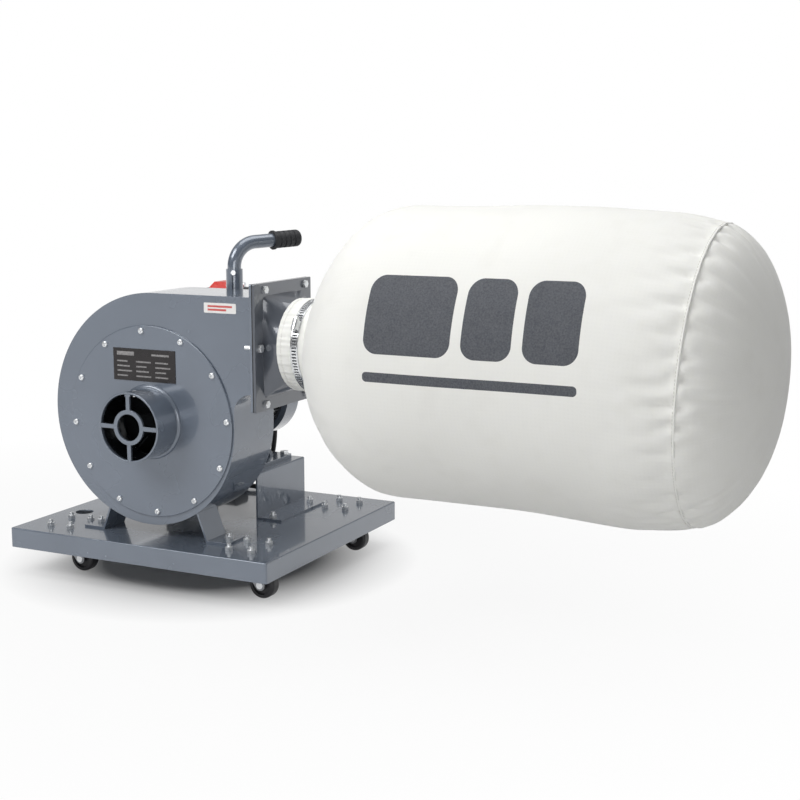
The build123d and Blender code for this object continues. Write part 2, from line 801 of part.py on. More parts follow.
tie_bolt_length = bell_rear_end - bell_front
with BuildPart() as tie_bolts:
    with Locations(Location((0, bell_rear_end, shaft_height), (-90, 0, 0))):
        with PolarLocations(tie_bolt_circle, 4, tie_bolt_turn):
            add(hex_bolt(m4_radius, tie_bolt_length, 7, 2.8))
save(tie_bolts.part, "tie_bolts")

core_front = 20
core_rear = 90
rotor_radius = 29
air_gap = 0.4
shell_bore = motor_radius - rib_height - shell_wall
slot_count = 24
with BuildPart() as stator_core:
    with BuildSketch(casing_plane(core_rear)):
        Circle(shell_bore)
        Circle(rotor_radius + air_gap, mode=Mode.SUBTRACT)
        with PolarLocations(tie_bolt_circle, 4, tie_bolt_turn):
            Circle(m4_radius + 0.5, mode=Mode.SUBTRACT)
    extrude(amount=core_rear - core_front)
save(stator_core.part, "stator_core")

winding_reach = 16
with BuildPart() as stator_windings:
    for rear, front in ((core_front, core_front - winding_reach), (core_rear + winding_reach, core_rear)):
        ring(rear, front, 43, 31)
    fillet(stator_windings.edges().filter_by(GeomType.CIRCLE), 3)
save(stator_windings.part, "stator_windings")

with BuildPart() as rotor_core:
    ring(core_rear, core_front, rotor_radius, shaft_radius)
save(rotor_core.part, "rotor_core")

# ---------------------------------------------------------------- shaft, impeller and fan

hub_rear = -50
hub_length = 52
hub_radius_impeller = 18
disc_sheet = 3
shaft_front = hub_rear - hub_length
fan_front = bell_rear_end + 5
fan_width = 16
shaft_rear = fan_front + fan_width
with BuildPart() as motor_shaft:
    ring(shaft_rear, shaft_front, shaft_radius)
    ring(shaft_front + 20, shaft_front, m4_radius, 0, Mode.SUBTRACT)
save(motor_shaft.part, "motor_shaft")

blade_sheet = 2
blade_inner = 40
with BuildPart() as impeller:
    ring(hub_rear, hub_rear - hub_length, hub_radius_impeller, shaft_radius)
    ring(hub_rear - 3, hub_rear - 3 - disc_sheet, impeller_radius, shaft_radius)
    with BuildSketch(casing_plane(hub_rear - 3 - disc_sheet)):
        with PolarLocations((impeller_radius + blade_inner) / 2, blade_count):
            Rectangle(impeller_radius - blade_inner - 2, blade_sheet)
    extrude(amount=blade_width)
save(impeller.part, "impeller")

with BuildPart() as impeller_bolt:
    ring(shaft_front, shaft_front - 3, hub_radius_impeller - 4)
    with Locations(casing_plane(shaft_front - 3)):
        add(hex_bolt(m4_radius, 21, 10, 5))
save(impeller_bolt.part, "impeller_bolt")

fan_blades = 8
with BuildPart() as cooling_fan:
    ring(shaft_rear, fan_front, 20, shaft_radius)
    ring(fan_front + 2, fan_front, 58, shaft_radius)
    with BuildSketch(casing_plane(shaft_rear)):
        with PolarLocations(38, fan_blades):
            Rectangle(38, 2)
    extrude(amount=fan_width)
save(cooling_fan.part, "cooling_fan")

fan_cover_sheet = 1.5
fan_cover_front = motor_rear + 6
vent_rows = (22, 36, 50)
vent_width = 5
with BuildPart() as fan_cover:
    ring(fan_cover_rear, fan_cover_front, fan_cover_radius)
    fillet(fan_cover.edges().group_by(Axis.Y)[-1], 8)
    offset(amount=-fan_cover_sheet, openings=fan_cover.faces().sort_by(Axis.Y)[0])
    ring(fan_cover_front + 6, fan_cover_front, fan_cover_radius - fan_cover_sheet, motor_radius)
    with BuildSketch(casing_plane(fan_cover_rear)):
        for row in vent_rows:
            for start in (8, 98, 188, 278):
                with Locations(Rot(0, 0, start)):
                    SlotArc(CenterArc((0, 0), row, 0, 74), vent_width)
    extrude(amount=2 * fan_cover_sheet, mode=Mode.SUBTRACT)
save(fan_cover.part, "fan_cover")

# ---------------------------------------------------------------- terminal box and switch

crown_level = shaft_height + motor_radius
terminal_height = 72
terminal_top = crown_level + terminal_height
terminal_size = (76, 84)
terminal_wall = 2
with BuildPart() as terminal_box:
    with BuildSketch(Plane((switch_x, switch_y, crown_level))):
        RectangleRounded(*terminal_size, 4)
    extrude(amount=terminal_height)
    with BuildSketch(Plane((switch_x, switch_y, crown_level + terminal_wall))):
        Rectangle(terminal_size[0] - 2 * terminal_wall, terminal_size[1] - 2 * terminal_wall)
    extrude(amount=terminal_height - 2 * terminal_wall, mode=Mode.SUBTRACT)
save(terminal_box.part, "terminal_box")

capacitor_radius = 17
capacitor_length = 60
with BuildPart() as start_capacitor:
    with BuildSketch(Plane((switch_x, switch_y, crown_level + terminal_wall))):
        Circle(capacitor_radius)
    extrude(amount=capacitor_length)
    fillet(start_capacitor.edges().group_by(Axis.Z)[-1], 3)
save(start_capacitor.part, "start_capacitor")

switch_top = tray_top + 343
button_radius = 8
button_gap = 0.1
button_depth = 9
button_stand = 4
button_travel = 3
start_y = switch_y + 10.5
stop_y = switch_y - 10.5
with BuildPart() as switch_box:
    with BuildSketch(Plane((switch_x, switch_y, terminal_top))):
        RectangleRounded(switch_width, switch_depth, 4)
    extrude(amount=switch_top - terminal_top)
    with BuildSketch(Plane((switch_x, switch_y, switch_top))):
        with GridLocations(0, start_y - stop_y, 1, 2):
            Circle(button_radius + button_gap)
    extrude(amount=-button_depth - button_travel, mode=Mode.SUBTRACT)
save(switch_box.part, "switch_box")

for y, name in ((start_y, "start_button"), (stop_y, "stop_button")):
    with BuildPart() as button:
        with BuildSketch(Plane((switch_x, y, switch_top - button_depth))):
            Circle(button_radius)
        extrude(amount=button_depth + button_stand)
        fillet(button.edges().group_by(Axis.Z)[-1], 1.5)
    save(button.part, name)

# The stop paddle is a hollow lid over both buttons, hinged along its rear edge.
paddle_height = 10.5
paddle_gap = 0.5
paddle_wall = 2
paddle_base = (36, 48)
paddle_slope = 7
hinge_y = switch_y + paddle_base[1] / 2 + 4
hinge_z = switch_top + 4
knuckle_radius = 3.5
hinge_pin_radius = 1.5
knuckle_width = 24


def hinge_plane(offset_x):
    """Plane square to the paddle's hinge pin, its origin on the pin's axis."""
    return Plane(origin=(switch_x + offset_x, hinge_y, hinge_z), x_dir=(0, 1, 0), z_dir=(1, 0, 0))


with BuildPart() as stop_paddle:
    with BuildSketch(Plane((switch_x, switch_y, switch_top + paddle_gap))):
        RectangleRounded(*paddle_base, 4)
    with BuildSketch(Plane((switch_x, switch_y, switch_top + paddle_height))):
        RectangleRounded(paddle_base[0] - 2 * paddle_slope, paddle_base[1] - 2 * paddle_slope, 4)
    loft()
    with BuildSketch(Plane((switch_x, switch_y, switch_top + paddle_gap))):
        Rectangle(paddle_base[0] - 2 * paddle_wall, paddle_base[1] - 2 * paddle_wall)
    with BuildSketch(Plane((switch_x, switch_y, switch_top + paddle_height - paddle_wall))):
        Rectangle(
            paddle_base[0] - 2 * paddle_slope - paddle_wall,
            paddle_base[1] - 2 * paddle_slope - paddle_wall,
        )
    loft(mode=Mode.SUBTRACT)
    with BuildSketch(hinge_plane(-knuckle_width / 2)):
        Circle(knuckle_radius)
        with Locations((-knuckle_radius, -0.5)):
            Rectangle(2 * knuckle_radius, 3)
        Circle(hinge_pin_radius + running_gap, mode=Mode.SUBTRACT)
    extrude(amount=knuckle_width)
save(stop_paddle.part, "stop_paddle")

ear_width = 4
ear_gap = 1
ear_outside = knuckle_width / 2 + ear_gap + ear_width
with BuildPart() as paddle_hinge:
    with BuildSketch(hinge_plane(-ear_outside)):
        Circle(hinge_pin_radius)
    extrude(amount=2 * ear_outside)
    for start in (-ear_outside, ear_outside - ear_width):
        with BuildSketch(hinge_plane(start)):
            Circle(knuckle_radius - 0.5)
            with Locations((0, -2)):
                Rectangle(2 * knuckle_radius - 1, 4)
        extrude(amount=ear_width)
save(paddle_hinge.part, "paddle_hinge")

# ---------------------------------------------------------------- supply lead

lead_radius = 4
lead_rest = tray_top + lead_radius + 3
plug_size = (30, 40, 26)
gland_z = terminal_top - 25
gland_y = switch_y + terminal_size[1] / 2
with BuildPart() as supply_lead:
    with BuildSketch(Plane(origin=(switch_x, gland_y, gland_z), x_dir=(1, 0, 0), z_dir=(0, 1, 0))):
        RegularPolygon(9, 6)
    extrude(amount=12)
    with BuildLine() as route:
        Spline(
            (switch_x, gland_y + 11, gland_z),
            (switch_x - 5, 174, gland_z - 60),
            (switch_x + 6, 178, tray_top + 70),
            (switch_x - 12, 172, lead_rest),
            (switch_x - 50, 168, lead_rest),
            tangents=((0, 1, 0), (-1, 0, 0)),
        )
    with BuildSketch(Plane(origin=route.line @ 0, z_dir=route.line % 0)):
        Circle(lead_radius)
    sweep(path=route.line)
    with BuildSketch(Plane(origin=route.line @ 1, x_dir=(0, 1, 0), z_dir=(-1, 0, 0))):
        with Locations((0, lead_radius + 2 - plug_size[2] / 2)):
            RectangleRounded(plug_size[1], plug_size[2], 6)
    extrude(amount=plug_size[0])
    pin_plane = Plane(origin=route.line @ 1 - (plug_size[0], 0, 0), x_dir=(0, 1, 0), z_dir=(-1, 0, 0))
    with BuildSketch(pin_plane):
        with Locations((0, -14), (-11, -4), (11, -4)):
            Rectangle(6, 4)
    extrude(amount=17)
save(supply_lead.part, "supply_lead")

# ---------------------------------------------------------------- handle

socket_top = tray_top + 380
socket_bore = handle_radius + running_gap
slot_width = 5
slot_length = 26
slot_face = 26
lock_screw_z = socket_top - 5
with BuildPart() as handle_socket:
    with BuildSketch(Plane((handle_x, handle_y, socket_top - socket_length))):
        Circle(socket_radius)
        Circle(socket_bore, mode=Mode.SUBTRACT)
    extrude(amount=socket_length)
    slot_plane = Plane(
        origin=(handle_x, handle_y, socket_top - 9),
        x_dir=(cos(radians(slot_face)), sin(radians(slot_face)), 0),
        z_dir=(sin(radians(slot_face)), -cos(radians(slot_face)), 0),
    )
    with BuildSketch(slot_plane):
        with Locations((0, -slot_length / 2)):
            Rectangle(slot_width, slot_length)
        with Locations((0, 4)):
            Circle(m4_radius)
    extrude(amount=2 * socket_radius, mode=Mode.SUBTRACT)
save(handle_socket.part, "handle_socket")

with BuildPart() as lock_screw:
    with Locations(slot_plane * Location((0, 4, socket_radius))):
        add(hex_bolt(m4_radius, socket_radius - handle_radius - 2 * running_gap, 7, 3))
save(lock_screw.part, "lock_screw")

# The handle tube swivels in its socket: upright leg, bend, then a rising arm.
arm_reach = 104
bend_start = socket_top + 2
arm_plane = Plane(
    origin=(handle_x, handle_y, bend_start),
    x_dir=(cos(radians(handle_turn)), sin(radians(handle_turn)), 0),
    z_dir=(sin(radians(handle_turn)), -cos(radians(handle_turn)), 0),
)
bend_sweep = 90 - handle_rise
arm_start = (handle_bend * (1 - cos(radians(bend_sweep))), handle_bend * sin(radians(bend_sweep)))
arm_length = (arm_reach - arm_start[0]) / cos(radians(handle_rise))
arm_end = (arm_reach, arm_start[1] + arm_length * sin(radians(handle_rise)))
with BuildPart() as handle_tube:
    with BuildLine(arm_plane) as bent_path:
        upright = Line((0, -60), (0, 0))
        bend_arc = CenterArc((handle_bend, 0), handle_bend, 180, -bend_sweep)
        arm = Line(bend_arc @ 1, arm_end)
    with BuildSketch(Plane(origin=bent_path.line @ 0, z_dir=(0, 0, 1))):
        Circle(handle_radius)
        Circle(handle_radius - 1.5, mode=Mode.SUBTRACT)
    sweep(path=bent_path.line)
save(handle_tube.part, "handle_tube")

grip_radius = 12.5
grip_start = 63
grip_tip = 109
grip_length = grip_tip - grip_start
ridge_count = 4
grip_collar = 1.6
arm_direction = Vector(
    cos(radians(handle_rise)) * cos(radians(handle_turn)),
    cos(radians(handle_rise)) * sin(radians(handle_turn)),
    sin(radians(handle_rise)),
)
arm_tip = arm_plane.from_local_coords(Vector(*arm_end))
grip_base = arm_tip - arm_direction * (arm_reach - grip_start)
grip_plane = Plane(origin=grip_base, z_dir=arm_direction)
with BuildPart() as handle_grip:
    with BuildSketch(grip_plane):
        Circle(grip_radius)
    extrude(amount=grip_length)
    fillet(handle_grip.faces().sort_by(Axis((0, 0, 0), tuple(arm_direction)))[-1].edges(), 6)
    with BuildSketch(grip_plane):
        Circle(grip_radius + grip_collar)
    extrude(amount=3)
    for ridge in range(ridge_count):
        with BuildSketch(grip_plane.offset(8 + 8 * ridge)):
            Circle(grip_radius + 1)
            Circle(grip_radius - 0.9, mode=Mode.SUBTRACT)
        extrude(amount=2.6, mode=Mode.SUBTRACT)
    with BuildSketch(grip_plane):
        Circle(handle_radius)
    extrude(amount=arm_reach - grip_start, mode=Mode.SUBTRACT)
save(handle_grip.part, "handle_grip")
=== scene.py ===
import json
import math

import bmesh
import bpy
import numpy as np
from mathutils import Matrix, Vector


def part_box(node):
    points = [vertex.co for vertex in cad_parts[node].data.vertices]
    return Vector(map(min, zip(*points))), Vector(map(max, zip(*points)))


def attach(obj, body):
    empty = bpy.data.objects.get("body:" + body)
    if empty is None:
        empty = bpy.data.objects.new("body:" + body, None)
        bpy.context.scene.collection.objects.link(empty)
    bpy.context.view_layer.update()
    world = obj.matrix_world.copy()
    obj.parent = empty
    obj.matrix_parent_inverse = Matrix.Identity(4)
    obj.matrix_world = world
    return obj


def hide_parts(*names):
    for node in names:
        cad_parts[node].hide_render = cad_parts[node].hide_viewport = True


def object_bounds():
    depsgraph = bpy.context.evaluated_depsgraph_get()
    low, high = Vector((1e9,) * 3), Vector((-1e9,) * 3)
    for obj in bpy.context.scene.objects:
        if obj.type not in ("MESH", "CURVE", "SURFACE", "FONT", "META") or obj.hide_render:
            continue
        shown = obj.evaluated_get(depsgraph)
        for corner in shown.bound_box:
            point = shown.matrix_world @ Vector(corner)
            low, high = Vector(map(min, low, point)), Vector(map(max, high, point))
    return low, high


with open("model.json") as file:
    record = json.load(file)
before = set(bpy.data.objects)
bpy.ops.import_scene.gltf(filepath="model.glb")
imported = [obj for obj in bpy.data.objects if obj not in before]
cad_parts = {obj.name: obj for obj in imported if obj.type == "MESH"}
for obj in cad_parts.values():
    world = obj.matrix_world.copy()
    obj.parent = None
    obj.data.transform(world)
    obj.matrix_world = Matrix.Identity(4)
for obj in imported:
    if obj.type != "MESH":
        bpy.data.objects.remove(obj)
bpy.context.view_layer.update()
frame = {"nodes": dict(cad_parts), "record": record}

# Looks of the portable dust collector. Metres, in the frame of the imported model: +X runs
# along the outlet to the bag, +Y to the motor and +Z up.

ROOT = "machine"
MM = 0.001


# ---------------------------------------------------------------- node helpers

def srgb(red, green, blue):
    """Linear colour from 0-255 display values."""
    def linear(v):
        v /= 255
        return v / 12.92 if v <= 0.04045 else ((v + 0.055) / 1.055) ** 2.4
    return (linear(red), linear(green), linear(blue), 1.0)


class Shader:
    """A material's node tree, with short calls for the nodes that the finishes share."""

    def __init__(self, name):
        self.material = bpy.data.materials.new(name)
        self.material.use_nodes = True
        self.tree = self.material.node_tree
        self.bsdf = self.tree.nodes["Principled BSDF"]
        self.object_place = self.add("ShaderNodeTexCoord").outputs["Object"]

    def add(self, kind, **settings):
        made = self.tree.nodes.new(kind)
        for key, value in settings.items():
            setattr(made, key, value)
        return made

    def feed(self, value, socket):
        """Links a socket, or writes a plain value."""
        if isinstance(value, bpy.types.NodeSocket):
            self.tree.links.new(value, socket)
        else:
            socket.default_value = value

    def principled(self, **inputs):
        for key, value in inputs.items():
            self.feed(value, self.bsdf.inputs[key.replace("_", " ")])

    def noise(self, scale, detail=3.0, stretch=None, roughness=0.5):
        """Noise over the object's own place, about 1/scale metres across."""
        made = self.add("ShaderNodeTexNoise")
        made.inputs["Scale"].default_value = scale
        made.inputs["Detail"].default_value = detail
        made.inputs["Roughness"].default_value = roughness
        place = self.object_place
        if stretch:
            mapping = self.add("ShaderNodeMapping")
            mapping.inputs["Scale"].default_value = stretch
            self.feed(place, mapping.inputs["Vector"])
            place = mapping.outputs["Vector"]
        self.feed(place, made.inputs["Vector"])
        return made.outputs["Fac"]

    def spread(self, value, low, high, start=0.3, end=0.7):
        """Maps the range start..end of a value to low..high."""
        made = self.add("ShaderNodeMapRange")
        self.feed(value, made.inputs["Value"])
        for key, number in (("From Min", start), ("From Max", end), ("To Min", low), ("To Max", high)):
            made.inputs[key].default_value = number
        return made.outputs["Result"]

    def math(self, operation, a, b=0.0):
        made = self.add("ShaderNodeMath", operation=operation)
        self.feed(a, made.inputs[0])
        self.feed(b, made.inputs[1])
        return made.outputs[0]

    def between(self, value, low, high):
        """1 where the value lies between two limits, else 0."""
        above = self.math("GREATER_THAN", value, low)
        below = self.math("LESS_THAN", value, high)
        return self.math("MULTIPLY", above, below)

    def place_xyz(self):
        """The object's own place, as its three coordinates."""
        split = self.add("ShaderNodeSeparateXYZ")
        self.feed(self.object_place, split.inputs[0])
        return list(split.outputs)

    def mix(self, factor, a, b):
        made = self.add("ShaderNodeMix", data_type="RGBA")
        self.feed(factor, made.inputs["Factor"])
        self.feed(a, made.inputs[6])
        self.feed(b, made.inputs[7])
        return made.outputs[2]

    def tinted(self, colour, amount, scale):
        """The colour, drifting lighter and darker by a share of itself."""
        light = tuple(min(1.0, c * (1 + amount)) for c in colour[:3]) + (1.0,)
        dark = tuple(c * (1 - amount) for c in colour[:3]) + (1.0,)
        return self.mix(self.spread(self.noise(scale), 0, 1), dark, light)

    def edge(self, radius):
        """1 along sharp edges, 0 on flat faces, and the normal with those edges eased."""
        bevel = self.add("ShaderNodeBevel", samples=6)
        bevel.inputs["Radius"].default_value = radius
        plain = self.add("ShaderNodeNewGeometry").outputs["Normal"]
        dot = self.add("ShaderNodeVectorMath", operation="DOT_PRODUCT")
        self.feed(bevel.outputs["Normal"], dot.inputs[0])
        self.feed(plain, dot.inputs[1])
        return self.spread(dot.outputs["Value"], 1, 0, 0.80, 0.99), bevel.outputs["Normal"]

    def bump(self, height, distance, strength=1.0, normal=None):
        made = self.add("ShaderNodeBump")
        made.inputs["Distance"].default_value = distance
        made.inputs["Strength"].default_value = strength
        self.feed(height, made.inputs["Height"])
        if normal is not None:
            self.feed(normal, made.inputs["Normal"])
        return made.outputs["Normal"]


# ---------------------------------------------------------------- finishes

def powder_coat(name, colour, gloss=0.24, worn=srgb(175, 180, 184), painted_shade=None):
    """Sprayed paint: slight orange peel, faint cloudiness, edges rubbed lighter."""
    s = Shader(name)
    rubbed, eased = s.edge(0.8 * MM)
    patches = s.spread(s.noise(160, 3), 0.0, 0.5, 0.45, 0.75)
    painted = s.mix(s.math("MULTIPLY", rubbed, patches), s.tinted(colour, 0.05, 9), worn)
    # Painted shade: the walls inside the inlet pipe turn near black, standing in for the shade in there.
    if painted_shade:
        painted = s.mix(painted_shade(s), painted, srgb(16, 18, 22))
    s.principled(
        Base_Color=painted,
        Metallic=0.25,
        Roughness=s.spread(s.noise(14, 3), gloss - 0.03, gloss + 0.06),
        Coat_Weight=1.0,
        Coat_Roughness=0.05,
        Normal=s.bump(s.noise(330, 2), 0.06 * MM, 0.25, eased),
    )
    return s.material


def pipe_painted_shade(s):
    """1 on the walls inside the inlet pipe, behind its mouth, which are painted darker as painted shade.
    """
    x, y, z = s.place_xyz()
    off_x = s.math("SUBTRACT", x, shaft_x)
    off_z = s.math("SUBTRACT", z, shaft_z)
    squares = s.math("ADD", s.math("MULTIPLY", off_x, off_x), s.math("MULTIPLY", off_z, off_z))
    within = s.math("LESS_THAN", squares, pipe_bore_radius ** 2)
    behind = s.spread(y, 0, 1, pipe_low.y + 1 * MM, pipe_low.y + 7 * MM)
    return s.math("MULTIPLY", within, behind)


def plated_steel(name, colour, roughness, grain=(1, 1, 14)):
    """Zinc or bright steel with a fine drawn grain and cloudy roughness."""
    s = Shader(name)
    rubbed, eased = s.edge(0.35 * MM)
    lines = s.noise(420, 3, stretch=grain)
    bright = tuple(min(1.0, c * 1.2) for c in colour[:3]) + (1.0,)
    s.principled(
        Base_Color=s.mix(rubbed, s.tinted(colour, 0.12, 160), bright),
        Metallic=0.85,
        Roughness=s.spread(lines, roughness - 0.07, roughness + 0.12),
        Normal=s.bump(lines, 0.04 * MM, 0.4, eased),
    )
    return s.material


def moulding(name, colour, roughness, grain=900, depth=0.05, scuff=srgb(120, 120, 124)):
    """Moulded plastic or rubber with a fine spark-eroded grain and scuffed edges."""
    s = Shader(name)
    rubbed, eased = s.edge(0.6 * MM)
    scuffed = s.math("MULTIPLY", rubbed, s.spread(s.noise(300, 3), 0.0, 0.4, 0.45, 0.8))
    s.principled(
        Base_Color=s.mix(scuffed, s.tinted(colour, 0.12, 40), scuff),
        Roughness=s.spread(s.noise(60, 3), roughness - 0.06, roughness + 0.08),
        Normal=s.bump(s.noise(grain, 2), depth * MM, 0.5, eased),
    )
    return s.material


def laminations(name, colour, pitch):
    """Thin steel sheets stacked along the shaft."""
    s = Shader(name)
    wave = s.add("ShaderNodeTexWave", bands_direction="Y")
    wave.inputs["Scale"].default_value = 1 / pitch / 20
    s.feed(s.object_place, wave.inputs["Vector"])
    s.principled(
        Base_Color=s.tinted(colour, 0.15, 90),
        Metallic=0.9,
        Roughness=s.spread(s.noise(80), 0.38, 0.55),
        Normal=s.bump(wave.outputs["Fac"], 0.1 * MM, 0.6),
    )
    return s.material


def windings(name, colour, pitch):
    """Varnished wire wound round the slots."""
    s = Shader(name)
    wave = s.add("ShaderNodeTexWave", wave_type="RINGS", rings_direction="Y")
    wave.inputs["Scale"].default_value = 1 / pitch / 20
    wave.inputs["Distortion"].default_value = 3
    s.feed(s.object_place, wave.inputs["Vector"])
    s.principled(
        Base_Color=s.tinted(colour, 0.2, 200),
        Metallic=0.6,
        Roughness=s.spread(s.noise(90), 0.25, 0.4),
        Normal=s.bump(wave.outputs["Fac"], 0.4 * MM, 0.8),
    )
    return s.material


def printed_plate(name):
    """Black data plate with plain pale bars in rows, standing in for its printing."""
    s = Shader(name)
    low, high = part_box("nameplate")
    x, _, z = s.place_xyz()
    across = s.spread(x, 0, 1, low.x, high.x)
    up = s.spread(z, 0, 1, low.z, high.z)

    def bar(left, right, bottom, top):
        return s.math("MULTIPLY", s.between(across, left, right), s.between(up, bottom, top))

    marks = bar(0.06, 0.34, 0.78, 0.90)
    for row in range(4):
        height = 0.62 - 0.15 * row
        for column in range(3):
            left = 0.06 + 0.31 * column
            width = 0.17 + 0.07 * ((row + 2 * column) % 3) / 2
            marks = s.math("MAXIMUM", marks, bar(left, left + width, height - 0.045, height))
    marks = s.math("MAXIMUM", marks, bar(0.62, 0.90, 0.80, 0.86))
    worn = s.math("MULTIPLY", marks, s.spread(s.noise(700, 2), 0.45, 0.9))
    s.principled(
        Base_Color=s.mix(worn, s.tinted(srgb(34, 30, 31), 0.2, 60), srgb(168, 166, 166)),
        Roughness=s.spread(s.noise(80), 0.22, 0.36),
        Normal=s.bump(s.noise(600, 2), 0.05 * MM, 0.4),
    )
    return s.material


def sticker_paper(name, low, high):
    """White vinyl sticker with plain pale red bars."""
    s = Shader(name)
    x, _, z = s.place_xyz()
    across = s.spread(x, 0, 1, low.x, high.x)
    up = s.spread(z, 0, 1, low.z, high.z)
    marks = 0.0
    for bottom, right in ((0.56, 0.88), (0.22, 0.70)):
        bar = s.math("MULTIPLY", s.between(up, bottom, bottom + 0.2), s.between(across, 0.12, right))
        marks = s.math("MAXIMUM", marks, bar)
    s.principled(
        Base_Color=s.mix(marks, s.tinted(srgb(236, 234, 232), 0.03, 200), srgb(206, 96, 92)),
        Roughness=s.spread(s.noise(120), 0.35, 0.5),
        Normal=s.bump(s.noise(500, 2), 0.04 * MM, 0.3),
    )
    return s.material


def bag_cloth(name, printed=False):
    """Off-white filter cloth: plain weave, soft sheen, slight soiling, and a plain printed device."""
    s = Shader(name)
    girth = s.add("ShaderNodeUVMap", uv_map="weave").outputs["UV"]
    threads = []
    for direction in ("X", "Y"):
        wave = s.add("ShaderNodeTexWave", bands_direction=direction)
        wave.inputs["Scale"].default_value = 1 / (THREAD * 20)
        wave.inputs["Distortion"].default_value = 0.6
        wave.inputs["Detail"].default_value = 2
        s.feed(girth, wave.inputs["Vector"])
        threads.append(wave.outputs["Fac"])
    weave = s.math("MULTIPLY", threads[0], threads[1])
    soft = s.noise(70, 4)
    height = s.math("ADD", s.math("MULTIPLY", weave, 0.3), s.math("MULTIPLY", soft, 0.9))
    clean = s.tinted(srgb(236, 236, 232), 0.02, 4)
    colour = s.mix(s.spread(s.noise(24, 5), 0, 0.30, 0.52, 0.8), clean, srgb(222, 221, 215))
    colour = s.mix(s.math("MULTIPLY", weave, 0.04), colour, srgb(200, 200, 196))
    if printed:
        ink = s.math("MULTIPLY", print_mask(s), s.spread(s.noise(500, 3), 0.94, 1.0))
        colour = s.mix(ink, colour, s.tinted(srgb(78, 81, 88), 0.05, 60))
    s.principled(
        Base_Color=colour,
        Roughness=s.spread(soft, 0.72, 0.9),
        Specular_IOR_Level=0.25,
        Sheen_Weight=0.25,
        Sheen_Roughness=0.5,
        Subsurface_Weight=0.12,
        Subsurface_Radius=(0.006, 0.006, 0.005),
        Normal=s.bump(height, 0.35 * MM, 0.45),
    )
    return s.material


def print_mask(s):
    """1 inside the plain blocks and the rule printed on the side of the bag towards the inlet."""
    x, y, z = s.place_xyz()
    front = s.math("LESS_THAN", y, axis_y)

    def outside(value, low, high):
        """Squared distance past the nearer of two limits, 0 between them."""
        off_middle = s.math("ABSOLUTE", s.math("SUBTRACT", value, (low + high) / 2))
        past = s.math("MAXIMUM", s.math("SUBTRACT", off_middle, (high - low) / 2), 0.0)
        return s.math("MULTIPLY", past, past)

    def block(left, right, bottom, top, corner):
        """Rounded rectangle: everything within a corner's radius of its inner box."""
        squares = s.math("ADD", outside(x, left + corner, right - corner),
                         outside(z, bottom + corner, top - corner))
        return s.math("LESS_THAN", squares, corner ** 2)

    mark = 0.0
    span = print_right - print_left
    for start, end in ((0.0, 0.42), (0.47, 0.70), (0.75, 1.0)):
        left = print_left + span * start
        right = print_left + span * end
        mark = s.math("MAXIMUM", mark, block(left, right, print_low, print_high, 18 * MM))
    rule_low = print_low - 34 * MM
    mark = s.math("MAXIMUM", mark, block(print_left, print_right, rule_low, rule_low + 12 * MM, 5 * MM))
    return s.math("MULTIPLY", mark, front)


# ---------------------------------------------------------------- places, from the frame

tray_low, tray_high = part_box("base_tray")
deck = Vector(((tray_low.x + tray_high.x) / 2, (tray_low.y + tray_high.y) / 2, tray_high.z))
pipe_low, pipe_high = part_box("inlet_pipe")
shaft_x = (pipe_low.x + pipe_high.x) / 2
shaft_z = (pipe_low.z + pipe_high.z) / 2
pipe_bore_radius = 47.4 * MM
bag_low, bag_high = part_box("dust_bag")
axis_y = (bag_low.y + bag_high.y) / 2
axis_z = (bag_low.z + bag_high.z) / 2
bag_start = bag_low.x
bag_end = bag_high.x
barrel_radius = (bag_high.z - bag_low.z) / 2 - 1.5 * MM
band_low, band_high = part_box("band_clamp")
plate_low, plate_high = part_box("front_plate")
neck_radius = 62.4 * MM
flare_start = band_high.x + 1 * MM
seam_place = bag_end - 81 * MM
seam_radius = barrel_radius - 11 * MM
shoulder_length = 155 * MM
# How far the filled cloth hangs, is drawn in and gathers, and how it is simulated.
neck_hang = 17 * MM
seam_draw = 34 * MM
seam_droop = 7 * MM
end_droop = 9 * MM
seam_lean = 8 * MM
gather_depth = 2.2 * MM
slack_depth = 3 * MM
pucker_depth = 8 * MM
cloth_spacing = 5.2 * MM
cloth_steps = 232
cloth_cap = 9 * MM
cloth_frames = 20
cloth_pressure = 7.0
cloth_weight = 0.03
cloth_thickness = 1.0 * MM
THREAD = 0.8 * MM

# The printed device lies across the upper half of the bag's near side.
print_left = bag_start + 0.30 * (bag_end - bag_start)
print_right = print_left + 0.41 * (bag_end - bag_start)
print_low = axis_z + 22 * MM
print_high = print_low + 92 * MM


# ---------------------------------------------------------------- CAD finishes

